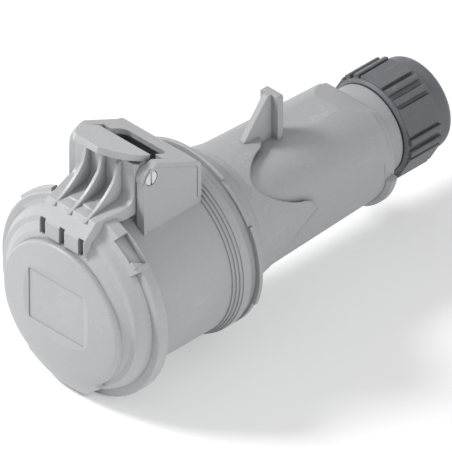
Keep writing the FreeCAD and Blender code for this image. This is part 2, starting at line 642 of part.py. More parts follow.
# Round contact housing with its flange, and the hood for the hinge moulded on its top.
def front_housing():
    s = size
    body = make_body("front_housing")
    bend = s.front_round * (1 - math.sqrt(0.5))
    tail = s.rear_round * (1 - math.sqrt(0.5))
    shoulder_z = s.hood_peak_z - s.front_round
    outline = [
        (s.hood_front_y, s.hood_base_z),
        (s.hood_front_y, shoulder_z),
        Via((s.hood_front_y + bend, s.hood_peak_z - bend)),
        (s.hood_peak_y, s.hood_peak_z),
        (s.hood_tail_y, s.hood_tail_z),
        Via((s.hood_rear_y - tail, s.hood_tail_z - tail)),
        (s.hood_rear_y, s.hood_tail_z - s.rear_round),
        (s.hood_rear_y, s.hood_base_z),
    ]
    extrude(body, "hood_block", "YZ", [outline], length=s.hood_half_width * 2, both=True)
    plate = s.hood_plate
    inner_bend = (s.front_round - plate) * (1 - math.sqrt(0.5))
    inside = [
        (s.hood_front_y + s.jamb_depth, s.hood_base_z - 1),
        (s.hood_front_y + s.jamb_depth, shoulder_z),
        Via((s.hood_front_y + plate + inner_bend, s.hood_peak_z - plate - inner_bend)),
        (s.hood_peak_y, s.hood_peak_z - plate),
        (s.hood_tail_y - plate / 2, s.hood_tail_z - plate),
        (s.hood_rear_y - plate, s.hood_tail_z - plate * 1.7),
        (s.hood_rear_y - plate, s.hood_base_z - 1),
    ]
    inner_half = s.hood_half_width - s.cheek_thickness
    extrude(body, "hood_hollow", "YZ", [inside], cut=True, length=inner_half * 2, both=True)
    front_gap = rectangle(s.hood_front_y - 1, s.hood_base_z - 1,
                          s.hood_front_y + s.jamb_depth + 1, s.hood_peak_z + 1)
    extrude(body, "hood_mouth", "YZ", [front_gap], cut=True, length=s.jamb_inner * 2, both=True)
    corner = s.window_corner
    corner_bend = corner * (1 - math.sqrt(0.5))
    half, rear = s.window_half_width, s.window_rear_y
    window = [
        (-s.jamb_inner, s.hood_front_y - 1),
        (s.jamb_inner, s.hood_front_y - 1),
        (s.jamb_inner, s.window_step_y),
        (half, s.window_step_y),
        (half, rear - corner),
        Via((half - corner_bend, rear - corner_bend)),
        (half - corner, rear),
        (-half + corner, rear),
        Via((-half + corner_bend, rear - corner_bend)),
        (-half, rear - corner),
        (-half, s.window_step_y),
        (-s.jamb_inner, s.window_step_y),
    ]
    extrude(body, "hood_window", "XY", [window], cut=True, start=s.hood_tail_z - plate * 2,
            length=s.hood_peak_z, back=True)
    lip = s.lip_width
    lip_bend = (s.front_round - lip) * (1 - math.sqrt(0.5))
    lip_tail = (s.rear_round - lip) * (1 - math.sqrt(0.5))
    lip_outline = outline[:-1] + [
        (s.hood_rear_y, s.hood_base_z + s.lip_foot),
        (s.hood_rear_y - lip, s.hood_base_z + s.lip_foot),
        (s.hood_rear_y - lip, s.hood_tail_z - s.rear_round),
        Via((s.hood_rear_y - lip - lip_tail, s.hood_tail_z - lip - lip_tail)),
        (s.hood_tail_y, s.hood_tail_z - lip),
        (s.hood_peak_y, s.hood_peak_z - lip),
        Via((s.hood_front_y + lip + lip_bend, s.hood_peak_z - lip - lip_bend)),
        (s.hood_front_y + lip, shoulder_z),
        (s.hood_front_y + lip, s.hood_base_z),
    ]
    lip_pad = extrude(body, "cheek_lip", "YZ", [lip_outline], start=s.hood_half_width,
                      length=s.lip_height)
    boss_start = s.hub_half_width + s.hub_side_gap
    boss = extrude(body, "cheek_boss", "YZ", circles=[((s.pin_y, s.pin_z), s.boss_radius)],
                   start=boss_start, length=s.hood_half_width - boss_start)
    mirror_across(body, "other_cheek", [lip_pad, boss], "YZ")
    ring_one = s.collar_radius + s.ring_step
    ring_two = ring_one + s.ring_step
    ring_three = ring_two + s.ring_step
    after = s.collar_length
    spigot_end = s.joint_y + s.spigot_length
    revolve(body, "housing_blank", [
        (ZERO, ZERO),
        (s.collar_radius - s.mouth_chamfer, ZERO),
        (s.collar_radius, s.mouth_chamfer),
        (s.collar_radius, after),
        (ring_one, after),
        (ring_one, after + s.ring_width),
        (ring_two, after + s.ring_width),
        (ring_two, after + s.ring_width * 2),
        (ring_three, after + s.ring_width * 2),
        (ring_three, after + s.ring_width * 3),
        (s.flange_radius, after + s.ring_width * 3),
        (s.flange_radius, s.joint_y),
        (s.spigot_radius, s.joint_y),
        (s.spigot_radius, spigot_end),
        (ZERO, spigot_end),
    ])
    recess_radius = s.carrier_flange_radius + s.carrier_play
    revolve(body, "housing_bore", [
        (ZERO, -s.mouth_chamfer),
        (s.mouth_bore_radius + s.mouth_chamfer, -s.mouth_chamfer),
        (s.mouth_bore_radius + s.mouth_chamfer, ZERO),
        (s.mouth_bore_radius, s.mouth_chamfer),
        (s.mouth_bore_radius, s.socket_depth),
        (s.seat_bore_radius, s.socket_depth),
        (s.seat_bore_radius, s.seat_rear_y),
        (recess_radius, s.seat_rear_y),
        (recess_radius, s.carrier_rear_y),
        (s.rear_bore_radius, s.carrier_rear_y),
        (s.rear_bore_radius, spigot_end + 1),
        (ZERO, spigot_end + 1),
    ], cut=True)
    groove_y = s.joint_y + s.seal_groove_start
    revolve(body, "seal_groove", rectangle(
        s.spigot_radius - s.seal_groove_depth, groove_y,
        s.spigot_radius + 1, groove_y + s.seal_groove_width), cut=True)
    keyway = rectangle(-s.keyway_width / 2, -s.mouth_bore_radius - s.keyway_depth,
                       s.keyway_width / 2, -s.mouth_bore_radius + 2)
    extrude(body, "keyway", "XZ", [keyway], cut=True, length=s.keyway_length)
    extrude(body, "pin_hole", "YZ", circles=[((s.pin_y, s.pin_z), s.pin_radius)],
            cut=True, length=s.hood_half_width * 3, both=True)
    extrude(body, "pin_head_recess", "YZ",
            circles=[((s.pin_y, s.pin_z), s.pin_recess_radius)], cut=True,
            start=s.hood_half_width - s.pin_head_height, length=s.hood_half_width, back=True)
    screw_hole = make_sketch(
        body, "cover_screw_hole_outline", "XZ", height=-s.carrier_rear_y,
        circles=[((ZERO, s.cover_screw_circle), s.cover_screw_radius)])
    hole = add_feature(body, "Pocket", "cover_screw_hole", screw_hole,
                       Length=s.cover_screw_depth + 0.4, Reversed=True)
    pattern_round(body, "cover_screw_holes", [hole], s.cover_screw_count, screw_hole)
    return body


# Slotted steel pin: a shaft through both cheeks, its head in the recess of the +X cheek.
def hinge_pin():
    s = size
    body = make_body("hinge_pin")
    head_start = s.hood_half_width - s.pin_head_height
    extrude(body, "shaft", "YZ", circles=[((s.pin_y, s.pin_z), s.pin_radius)],
            start=-s.hood_half_width, length=s.hood_half_width + head_start)
    extrude(body, "head", "YZ", circles=[((s.pin_y, s.pin_z), s.pin_head_radius)],
            start=head_start, length=s.pin_head_height - 0.1)
    half = s.pin_slot_width / 2
    slot = rectangle(s.pin_y - half, s.pin_z - s.pin_recess_radius,
                     s.pin_y + half, s.pin_z + s.pin_recess_radius)
    extrude(body, "driver_slot", "YZ", [slot], cut=True,
            start=s.hood_half_width - s.pin_head_height / 2, length=s.hood_half_width, back=True)
    return body


def is_face_edge(edge, groove):
    """The closed edge between the crowned face and its side."""
    box = edge.BoundBox
    return box.XLength > 10 and box.YMax < groove - 1 and box.ZLength > 10


# Domed lid with its raised face, crescent groove, rim, arm, ribs, thumb tab and hinge barrel.
def lid_shell():
    s = size
    body = make_body("lid_shell")
    front = s.dome_apex_y - 1
    pad = extrude(body, "face", "XZ", circles=[((ZERO, -s.pad_drop), s.pad_radius)],
                  start=-front, length=s.groove_y - front, back=True)
    radius = s.dome_sphere_radius
    half = s.crown_radius / 2
    middle_sag = radius - root(radius * radius - half * half)
    sag = radius - root(radius * radius - s.crown_radius * s.crown_radius)
    crown = [
        (ZERO, s.dome_apex_y),
        Via((half, s.dome_apex_y + middle_sag)),
        (s.crown_radius, s.dome_apex_y + sag),
        Via((s.crown_radius + s.crown_bend_reach, s.crown_bend_y)),
        (s.crown_radius + s.crown_slope_reach, s.crown_slope_y),
        (s.crown_radius + s.crown_end_reach, s.crown_end_y),
        (s.rim_radius + 4, s.rim_front_y),
        (s.rim_radius + 4, front - 4),
        (ZERO, front - 4),
    ]
    crowned = revolve(body, "crown", crown, cut=True)
    round_edge(body, "face_edge", crowned, s.pad_edge,
               lambda edge: is_face_edge(edge, float(s.groove_y)))
    foot_z = -s.rim_radius
    waist = Via((s.lip_waist_x, foot_z + s.lip_waist_rise))
    other_waist = Via((-s.lip_waist_x, foot_z + s.lip_waist_rise))
    lip = [
        (-s.lip_tip_x, foot_z + s.lip_tip_rise),
        (-s.lip_side_x, foot_z + s.lip_side_rise),
        other_waist,
        (-s.lip_foot_half, foot_z + s.lip_foot_rise),
        (s.lip_foot_half, foot_z + s.lip_foot_rise),
        waist,
        (s.lip_side_x, foot_z + s.lip_side_rise),
        (s.lip_tip_x, foot_z + s.lip_tip_rise),
    ]
    extrude(body, "face_lip", "XZ", [lip], start=-front, length=s.rim_front_y - front + 1,
            back=True)
    revolve(body, "lip_crown", crown, cut=True)
    top = s.arm_floor_z
    floor = [
        (s.arm_foot_y, s.arm_foot_z),
        (s.arm_neck_y, s.arm_neck_z),
        (s.arm_wall_y - s.arm_bend, top),
        Via((s.arm_wall_y - s.arm_bend * 0.29, top + s.arm_bend * 0.29)),
        (s.arm_wall_y, top + s.arm_bend),
        (s.arm_wall_y, s.rib_top_z + 3),
        (s.arm_wall_y + s.arm_wall, s.rib_top_z + 1),
        (s.arm_wall_y + s.arm_wall, s.arm_back_z + 4),
        (s.arm_wall_y + s.arm_wall - 3, s.arm_back_z),
        (s.rim_front_y, s.arm_back_z),
        (s.groove_y, s.arm_foot_z - 9),
        (s.arm_foot_y, s.arm_foot_z - 9),
    ]
    extrude(body, "arm", "YZ", [floor], length=s.arm_half * 2, both=True)
    rib = [
        (s.rib_tip_y, s.skirt_bore_radius + s.rib_tip_rise),
        Via((s.rib_mid_y, s.skirt_bore_radius + s.rib_mid_rise)),
        (s.pin_y - s.rib_knee_run, s.pin_z - s.rib_knee_drop),
        Via((s.pin_y - s.rib_bow_run, s.pin_z + s.rib_bow_rise)),
        (s.pin_y - s.rib_top_run, s.rib_top_z),
        (s.arm_wall_y + 1, s.rib_top_z + 2),
        (s.arm_wall_y + 1, s.arm_back_z + 1),
        (s.rib_tip_y + 1, s.arm_back_z + 1),
    ]
    for number, place in enumerate((ZERO, s.rib_spacing, -s.rib_spacing)):
        extrude(body, f"rib_{number}", "YZ", [rib], start=place - s.rib_thickness / 2,
                length=s.rib_thickness)
    extrude(body, "barrel", "YZ", circles=[((s.pin_y, s.pin_z), s.hub_radius)],
            length=s.hub_half_width * 2, both=True)
    gap = extrude(body, "spring_gap", "YZ",
                  circles=[((s.pin_y, s.pin_z), s.spring_slot_radius)], cut=True,
                  length=s.spring_slot_half_width * 2, both=True)
    tab_y, tab_z = s.pin_y + s.tab_rear_run, s.pin_z + s.tab_rear_rise
    slope = body.newObject("Sketcher::SketchObject", "tab_outline")
    support = next(item for item in body.Origin.OriginFeatures if item.Role == "XY_Plane")
    slope.AttachmentSupport = [(support, "")]
    slope.MapMode = "FlatFace"
    slope.AttachmentOffset = Placement(
        Vector(0, float(tab_y), float(tab_z)), Rotation(Vector(1, 0, 0), -float(s.tab_tilt)))
    slope.setExpression("AttachmentOffset.Base.y", tab_y.formula)
    slope.setExpression("AttachmentOffset.Base.z", tab_z.formula)
    slope.setExpression("AttachmentOffset.Rotation.Angle", (-s.tab_tilt).formula)
    add_outline(slope, [
        (-s.tab_half_rear, ZERO),
        Via((-s.tab_half_mid, -s.tab_mid_length)),
        (-s.tab_half_front, -s.tab_length),
        (s.tab_half_front, -s.tab_length),
        Via((s.tab_half_mid, -s.tab_mid_length)),
        (s.tab_half_rear, ZERO),
    ])
    add_feature(body, "Pad", "tab", slope, Length=s.tab_thickness, Reversed=True)
    side_trim = [
        (s.arm_foot_half, s.arm_foot_y - 3),
        (s.arm_foot_half, s.arm_foot_y),
        (s.arm_foot_half + 2, s.rim_front_y),
        (s.arm_half, s.arm_wall_y - s.arm_bend),
        (s.arm_half + 6, s.arm_wall_y - s.arm_bend),
        (s.arm_half + 6, s.arm_foot_y - 3),
    ]
    trim = extrude(body, "arm_side_trim", "XY", [side_trim], cut=True, start=s.arm_foot_z - 10,
                   length=s.collar_radius, back=True)
    mirror_across(body, "arm_other_side_trim", [trim], "YZ")
    revolve(body, "lid_blank", [
        (ZERO, s.groove_inner_y - 1),
        (s.pad_radius - 3, s.groove_inner_y - 1),
        (s.pad_radius, s.groove_inner_y),
        (s.groove_outer_radius, s.groove_y),
        (s.brim_radius - 1, s.brim_front_y - 0.6),
        (s.brim_radius, s.brim_front_y + 0.4),
        (s.side_radius, s.side_front_y),
        (s.side_rear_radius, s.rim_front_y),
        (s.rim_radius - s.rim_chamfer, s.rim_front_y),
        (s.rim_radius, s.rim_front_y + s.rim_chamfer),
        (s.rim_radius, s.rim_rear_y - s.rim_chamfer),
        (s.rim_radius - s.rim_chamfer, s.rim_rear_y),
        (ZERO, s.rim_rear_y),
    ])
    crest = [
        (s.skirt_bore_radius + 0.5, s.side_front_y),
        (s.side_radius, s.side_front_y),
        (s.rim_radius, s.side_front_y + 3),
        (s.rim_radius + 0.3, s.rim_rear_y - s.rim_chamfer),
        (s.skirt_bore_radius + 0.5, s.rim_rear_y - s.rim_chamfer),
    ]
    revolve(body, "crest", crest, angle=s.crest_sweep, start=s.crest_start - 90)
    left_crest = [
        (s.side_rear_radius - 1, s.rim_front_y - 0.8),
        (s.left_crest_radius, s.rim_front_y + 1.5),
        (s.left_crest_radius, s.rim_rear_y - 1.5),
        (s.side_rear_radius - 1, s.rim_rear_y),
    ]
    revolve(body, "left_crest", left_crest, angle=s.left_crest_sweep,
            start=s.left_crest_start - 90)
    catch = rectangle(-s.catch_length / 2, s.catch_front_y, s.catch_length / 2, s.catch_rear_y)
    extrude(body, "catch_window", "XY", [catch], cut=True, turn=(Vector(0, 1, 0), s.catch_angle),
            start=s.rim_radius + 2, length=s.catch_depth + 2)
    tooth = [
        (s.catch_length / 2 - s.catch_tooth, s.catch_front_y - 0.1),
        (s.catch_length / 2 + 0.1, s.catch_front_y - 0.1),
        (s.catch_length / 2 + 0.1, s.catch_rear_y - 1),
    ]
    extrude(body, "catch_tooth", "XY", [tooth], turn=(Vector(0, 1, 0), s.catch_angle),
            start=s.rim_radius - 1, length=s.catch_depth - 0.6, back=True)
    revolve(body, "lid_hollow", [
        (ZERO, s.lid_floor_y),
        (s.lid_bore_radius - 3, s.lid_floor_y),
        (s.lid_bore_radius, s.lid_floor_y + 3),
        (s.lid_bore_radius, s.gasket_seat_y),
        (s.skirt_bore_radius, s.gasket_seat_y),
        (s.skirt_bore_radius, s.rim_rear_y + 1),
        (ZERO, s.rim_rear_y + 1),
    ], cut=True)
    foot = rectangle(-s.rim_radius, -s.rim_radius - 3, s.rim_radius, s.foot_cut - s.rim_radius)
    extrude(body, "foot_flat", "XZ", [foot], cut=True, length=s.rim_radius, both=True)
    badge = rounded_rectangle(s.badge_half_width, s.badge_half_height, s.badge_z, s.badge_corner)
    extrude(body, "badge_floor", "XZ", [badge], cut=True, start=-s.badge_floor_y,
            length=s.badge_reach + 3, back=True)
    edge_y = s.badge_floor_y - s.badge_step
    outlines = []
    for name, place, flare in (("badge_edge", edge_y, ZERO),
                               ("badge_mouth", edge_y - s.badge_reach, s.badge_flare)):
        outline = rounded_rectangle(s.badge_half_width + flare, s.badge_half_height + flare,
                                    s.badge_z, s.badge_corner + flare / 2)
        outlines.append(make_sketch(body, name, "XZ", [outline], height=-place))
    slope = body.newObject("PartDesign::SubtractiveLoft", "badge_slope")
    slope.Profile = outlines[0]
    slope.Sections = [outlines[1]]
    slope.Ruled = True
    for number in (-1, 0, 1):
        middle = s.notch_spacing * number
        notch = rectangle(middle - s.notch_width / 2, s.arm_foot_z - s.notch_depth_z,
                          middle + s.notch_width / 2, s.arm_foot_z + 1)
        extrude(body, f"foot_notch_{number + 1}", "XZ", [notch], cut=True,
                start=-(s.arm_foot_y - s.notch_lead), length=s.notch_cut + s.notch_lead)
    extrude(body, "pin_bore", "YZ",
            circles=[((s.pin_y, s.pin_z), s.pin_radius + s.pin_clearance)],
            cut=True, length=s.hub_half_width * 3, both=True)
    return body


# Rubber ring in the lid that closes on the mouth.
def lid_gasket():
    s = size
    body = make_body("lid_gasket")
    outer = s.skirt_bore_radius - s.gasket_side_gap
    face = -s.gasket_gap
    revolve(body, "ring", [
        (s.gasket_inner_radius, s.gasket_seat_y),
        (outer, s.gasket_seat_y),
        (outer, face - 0.4),
        (outer - 0.6, face),
        (s.gasket_inner_radius + 0.6, face),
        (s.gasket_inner_radius, face - 0.4),
    ])
    return body


# Torsion spring: a coil round the pin, a short leg behind the lid's wall and a long leg on the collar.
def lid_spring():
    s = size
    coil, wire = float(s.spring_coil_radius), float(s.spring_wire_radius)
    pitch = float(s.spring_pitch)
    reach_y = float(s.spring_foot_y - s.pin_y)
    reach_z = float(s.collar_radius - s.pin_z) + wire + 0.4
    lean = math.atan2(reach_z, reach_y) + math.acos(coil / math.hypot(reach_y, reach_z))
    height = pitch * (float(s.spring_turns) + (math.pi / 2 - lean) / (2 * math.pi))
    path = Part.makeHelix(pitch, height, coil)
    section = Part.Wire(Part.makeCircle(wire, Vector(coil, 0, 0), Vector(0, 1, 0)))
    wound = Part.Wire(path.Edges).makePipeShell([section], True, True)
    wound = wound.mirror(Vector(0, 0, 0), Vector(1, 0, -1))
    wound.translate(Vector(-height / 2, float(s.pin_y), float(s.pin_z)))
    pin = Vector(0, float(s.pin_y), float(s.pin_z))
    long_start = pin + Vector(height / 2, coil * math.cos(lean), coil * math.sin(lean))
    long_way = pin + Vector(height / 2, reach_y, reach_z) - long_start
    long_leg = Part.makeCylinder(wire, long_way.Length, long_start, long_way)
    short_start = pin + Vector(-height / 2, 0, coil)
    short_length = float(s.pin_y - s.arm_wall_y - s.arm_wall) - wire
    short_leg = Part.makeCylinder(wire, short_length, short_start, Vector(0, -1, 0))
    spring = doc.addObject("Part::Feature", "lid_spring")
    spring.Label = "lid_spring"
    spring.Shape = wound.multiFuse([long_leg, short_leg])
    return spring


# Rubber ring in the groove of the front housing's spigot.
def housing_seal():
    s = size
    body = make_body("housing_seal")
    inner = s.spigot_radius - s.seal_groove_depth + 0.1
    outer = s.spigot_radius + s.socket_clearance - 0.05
    start = s.joint_y + s.seal_groove_start + 0.1
    end = start + s.seal_groove_width - 0.2
    revolve(body, "ring", [
        (inner, start),
        (outer - 0.5, start),
        (outer, start + 0.6),
        (outer, end - 0.6),
        (outer - 0.5, end),
        (inner, end),
    ])
    return body


# Hand grip: shoulder with four tongues, rounded-square grip, fin, heel and threaded gland end.
def rear_housing():
    s = size
    body = make_body("rear_housing")
    second = s.joint_y + s.neck_length
    dome = second + s.second_flange_width
    neck = s.flange_radius - s.neck_step
    dome_radius = s.flange_radius - s.dome_step
    middle_radius = (dome_radius + s.shoulder_radius) / 2
    middle_y = (dome + s.shoulder_y) / 2
    revolve(body, "shoulder", [
        (ZERO, s.joint_y),
        (neck, s.joint_y),
        (neck, second),
        (s.flange_radius, second),
        (s.flange_radius, dome),
        (dome_radius, dome),
        Via((middle_radius + s.shoulder_bulge, middle_y + s.shoulder_bulge)),
        (s.shoulder_radius, s.shoulder_y),
        (s.tongue_front_radius, s.grip_front_y),
        (s.tongue_rear_radius, s.tongue_end_y),
        (ZERO, s.tongue_end_y),
    ])
    half, front, end = s.scoop_half, s.scoop_front_y, s.tongue_end_y + 4
    upper = [
        (-half - 1, end),
        (-half, s.scoop_top_y),
        Via((-half * 0.79, s.scoop_top_y - 2.7)),
        (-half * 0.65, s.scoop_top_y - s.scoop_tip_bend),
        Via((-half * 0.5, front + s.scoop_top_flank)),
        (-half * 0.32, front + 2),
        Via((-half * 0.13, front)),
        (half * 0.07, front + 2.4),
        Via((half * 0.36, front + s.scoop_side_flank)),
        (half * 0.545, s.scoop_side_y - s.scoop_side_bend),
        Via((half * 0.64, s.scoop_side_y - 3.9)),
        (half * 0.78, s.scoop_side_y),
        (half + 1, s.scoop_side_y + 1.1),
        (half + 1, end),
    ]
    lower = [
        (-half - 1, end),
        (-half - 1, s.scoop_side_y + 2),
        (-half * 0.97, s.scoop_side_y - 0.9),
        Via((-half * 0.83, s.scoop_side_y - s.scoop_low_bend)),
        (-half * 0.515, front + s.scoop_low_flank),
        Via((-half * 0.3, front + 1.6)),
        (ZERO, front - 0.9),
        Via((half * 0.33, front + 1.6)),
        (half * 0.56, front + s.scoop_foot_flank),
        Via((half * 0.74, s.scoop_top_y - s.scoop_foot_bend)),
        (half, s.scoop_top_y - 1),
        (half + 1, end),
    ]
    flipped = [[type(step)((-as_dims(step)[0], step[1])) for step in outline]
               for outline in (upper, lower)]
    for number, (outline, angle) in enumerate(
            ((upper, 45), (lower, 135), (flipped[1], 225), (flipped[0], 315))):
        extrude(body, f"scoop_{number}", "XY", [outline], cut=True,
                turn=(Vector(0, 1, 0), Dim(angle)), start=s.scoop_floor,
                length=s.collar_radius, back=True)
    sections = []
    for name, place, corner in (("grip_front", s.grip_front_y - s.grip_root, s.grip_front_radius),
                                ("grip_rear", s.grip_rear_y, s.grip_rear_radius)):
        flat, half, slant = s.grip_flat, s.grip_flat_half, corner * math.sqrt(0.5)
        sections.append(make_sketch(body, name, "XZ", [[
            (-half, flat), (half, flat), Via((slant, slant)),
            (flat, half), (flat, -half), Via((slant, -slant)),
            (half, -flat), (-half, -flat), Via((-slant, -slant)),
            (-flat, -half), (-flat, half), Via((-slant, slant)),
        ]], height=-place))
    grip = body.newObject("PartDesign::AdditiveLoft", "grip")
    grip.Profile = sections[0]
    grip.Sections = [sections[1]]
    grip.Ruled = True
    ring_end = s.grip_rear_y + s.tail_ring_width
    revolve(body, "tail_ring", [
        (ZERO, s.grip_rear_y - s.tail_ring_width),
        (s.tail_ring_radius, s.grip_rear_y - s.tail_ring_width),
        (s.tail_ring_radius, ring_end - s.tail_ring_round),
        Via((s.tail_ring_radius - s.tail_ring_round * 0.29, ring_end - s.tail_ring_round * 0.29)),
        (s.tail_ring_radius - s.tail_ring_round, ring_end),
        (ZERO, ring_end),
    ])
    drop = [
        (s.tail_drop_y, s.grip_flat),
        (ring_end + 1, s.grip_flat - s.tail_drop),
        (ring_end + 1, s.grip_flat + 4),
        (s.tail_drop_y, s.grip_flat + 4),
    ]
    extrude(body, "tail_slope", "YZ", [drop], cut=True, length=s.collar_radius * 2, both=True)
    lock_profile = [
        (s.flange_radius - 1, second),
        (s.flange_radius + s.lock_rib_height, second),
        (s.flange_radius + s.lock_rib_height, dome - 0.6),
        (s.flange_radius - 1, dome),
    ]
    for name, middle, half in (("top", 0, s.lock_rib_top_half), ("right", 86, s.lock_rib_side_half),
                               ("bottom", 180, s.lock_rib_top_half),
                               ("left", 274, s.lock_rib_side_half)):
        revolve(body, f"{name}_lock_rib", lock_profile, angle=half * 2,
                start=Dim(middle) - 90 - half)
    heel_start = s.heel_end_y - s.heel_width
    revolve(body, "heel", [
        (s.grip_flat - 4, heel_start),
        (s.heel_radius - s.heel_round * 1.6, heel_start),
        (s.heel_radius, heel_start + s.heel_round),
        (s.heel_radius, s.heel_end_y - s.heel_round),
        (s.heel_radius - s.heel_round, s.heel_end_y),
        (s.grip_flat - 4, s.heel_end_y),
    ], angle=s.heel_half_angle * 2, start=Dim(90) - s.heel_half_angle)
    thread_end = s.thread_start_y + s.thread_length
    revolve(body, "gland_end", [
        (ZERO, s.grip_rear_y - 4),
        (s.gland_neck_radius, s.grip_rear_y - 4),
        (s.gland_neck_radius, s.thread_start_y - 0.6),
        (s.gland_neck_radius - 0.6, s.thread_start_y),
        (s.thread_radius, s.thread_start_y),
        (s.thread_radius, thread_end - 1),
        (s.thread_radius - 1, thread_end),
        (ZERO, thread_end),
    ])
    fin_top = s.grip_flat + s.fin_rise
    fin_toe = s.fin_plate_y - s.fin_gusset_length
    gusset = [
        (fin_toe, s.grip_flat - 2),
        (fin_toe, s.grip_flat + s.fin_toe_rise),
        (s.fin_plate_y - s.fin_nose, fin_top - 1),
        (s.fin_plate_y - s.fin_nose + 1, fin_top),
        (s.fin_plate_y + 1, fin_top),
        (s.fin_plate_y + 1, s.grip_flat - 2),
    ]
    extrude(body, "fin_gusset", "YZ", [gusset], length=s.fin_gusset, both=True)
    bevel = s.fin_chamfer
    plate = [
        (-s.fin_half_width, s.grip_flat - 2),
        (-s.fin_half_width, fin_top - bevel),
        (-s.fin_half_width + bevel, fin_top),
        (s.fin_half_width - bevel, fin_top),
        (s.fin_half_width, fin_top - bevel),
        (s.fin_half_width, s.grip_flat - 2),
    ]
    extrude(body, "fin_plate", "XZ", [plate], start=-s.fin_plate_y, length=s.fin_plate, back=True)
    wall = s.wall_thickness
    throat = s.gland_throat_radius
    revolve(body, "hollow", [
        (ZERO, s.joint_y - 1),
        (s.spigot_radius + s.socket_clearance, s.joint_y - 1),
        (s.spigot_radius + s.socket_clearance, s.joint_y + s.spigot_length + 0.4),
        (s.spigot_radius - wall, s.joint_y + s.spigot_length + 0.4),
        (s.shoulder_radius - wall, s.shoulder_y - 1),
        (s.grip_front_radius - wall - 0.6, s.grip_front_y),
        (s.cavity_radius, s.scoop_top_y),
        (s.cavity_radius, s.tail_drop_y - 4),
        (throat, s.gland_seat_y - 8),
        (throat, s.gland_seat_y),
        (s.gland_bore_radius, s.gland_seat_y),
        (s.gland_bore_radius, thread_end + 1),
        (ZERO, thread_end + 1),
    ], cut=True)
    return body


# Rubber bush that seals on the cable.
def gland_seal():
    s = size
    body = make_body("gland_seal")
    outer = s.gland_bore_radius - s.bush_gap
    start = s.gland_seat_y
    end = start + s.bush_length
    revolve(body, "bush", [
        (s.cable_radius, start),
        (outer - 1, start),
        (outer, start + 1),
        (outer, end),
        (s.cable_radius, end),
    ])
    return body


# Slotted plastic ring between the bush and the thrust ring.
def clamp_ring():
    s = size
    body = make_body("clamp_ring")
    outer = s.gland_bore_radius - s.bush_gap
    start = s.gland_seat_y + s.bush_length
    end = start + s.clamp_length
    revolve(body, "ring", [
        (s.clamp_bore_radius, start),
        (outer, start),
        (outer, end - s.clamp_chamfer),
        (outer - s.clamp_chamfer, end),
        (s.clamp_bore_radius, end),
    ])
    half = s.clamp_slot_width / 2
    outline = rectangle(-half, s.clamp_bore_radius - 1, half, outer + 1)
    slot = extrude(body, "slot", "XZ", [outline], cut=True, start=-(start + 2.5),
                   length=s.clamp_length)
    profile = slot.Profile[0]
    pattern_round(body, "slots", [slot], s.clamp_slot_count, profile)
    return body


def thrust_start():
    return size.gland_seat_y + size.bush_length + size.clamp_length


# Plain ring that carries the nut's thrust to the clamping ring.
def thrust_ring():
    s = size
    body = make_body("thrust_ring")
    start = thrust_start() + 0.1
    revolve(body, "ring", rectangle(s.thrust_bore_radius, start,
                                    s.thrust_radius, start + s.thrust_length))
    return body


# Ribbed gland nut: six broad flats, a pair of ribs at each corner between them.
def gland_nut():
    s = size
    body = make_body("gland_nut")
    start, end = s.nut_front_y, s.nut_rear_y
    rib_start = start + s.nut_rib_start
    rib_end = rib_start + s.nut_rib_length
    dome = s.nut_dome
    bend = dome * (1 - math.sqrt(0.5))
    collar = s.nut_collar_radius
    revolve(body, "nut_blank", [
        (ZERO, start),
        (s.nut_front_radius - 1, start),
        (s.nut_front_radius, start + 0.8),
        (s.nut_body_radius, rib_start),
        (s.nut_body_radius, rib_end),
        (collar + 0.5, rib_end + 0.6),
        (collar, rib_end + 2.5),
        (collar, end - dome),
        Via((collar - bend, end - bend)),
        (collar - dome, end),
        (ZERO, end),
    ])
    flat = [
        (-s.nut_flat_half, ZERO + s.thread_radius + 2),
        (s.nut_flat_half, ZERO + s.thread_radius + 2),
        (s.nut_flat_half, s.nut_flat_radius),
        (-s.nut_flat_half, s.nut_flat_radius),
    ]
    half, bevel = s.nut_rib_half, s.nut_rib_bevel
    rib = [
        (-half, s.thread_radius + 2),
        (half, s.thread_radius + 2),
        (half, s.nut_rib_radius - bevel),
        (half - bevel, s.nut_rib_radius),
        (-half + bevel, s.nut_rib_radius),
        (-half, s.nut_rib_radius - bevel),
    ]
    corner = Dim(180) / s.nut_flat_count
    upright = Vector(0, 0, 1)
    items = [extrude(body, "flat", "XZ", [flat], length=rib_end, back=True)]
    for name, angle in (("rib_before", corner - s.nut_rib_angle),
                        ("rib_after", corner + s.nut_rib_angle)):
        items.append(extrude(body, name, "XZ", [rib], turn=(upright, angle), length=rib_end,
                             back=True))
    for item in items:
        item.SideType = "Two sides"
        item.Type2 = "Length"
        item.Length2 = -float(rib_start)
        item.setExpression("Length2", (-rib_start).formula)
    pattern_round(body, "flats_and_ribs", items, s.nut_flat_count, items[0].Profile[0])
    inside = thrust_start() + s.thrust_length + 0.2
    revolve(body, "nut_bore", [
        (ZERO, start - 1),
        (s.thread_radius + s.thread_clearance, start - 1),
        (s.thread_radius + s.thread_clearance, inside),
        (s.nut_outlet_radius, inside),
        (s.nut_outlet_radius, end - 2),
        (s.nut_outlet_radius + 2, end + 1),
        (ZERO, end + 1),
    ], cut=True)
    return body


def contact_angle(number):
    """Angle of a contact from the top, the earth contact first."""
    return size.earth_angle + Dim(360 * number) / size.contact_count


def contact_places():
    """Centres of the contacts on their circle, and how much larger each one is."""
    s = size
    places = []
    for number in range(int(float(s.contact_count))):
        angle = contact_angle(number)
        centre = (s.contact_pitch_radius * sine(angle), s.contact_pitch_radius * cosine(angle))
        places.append((centre, s.earth_extra if number == 0 else ZERO))
    return places


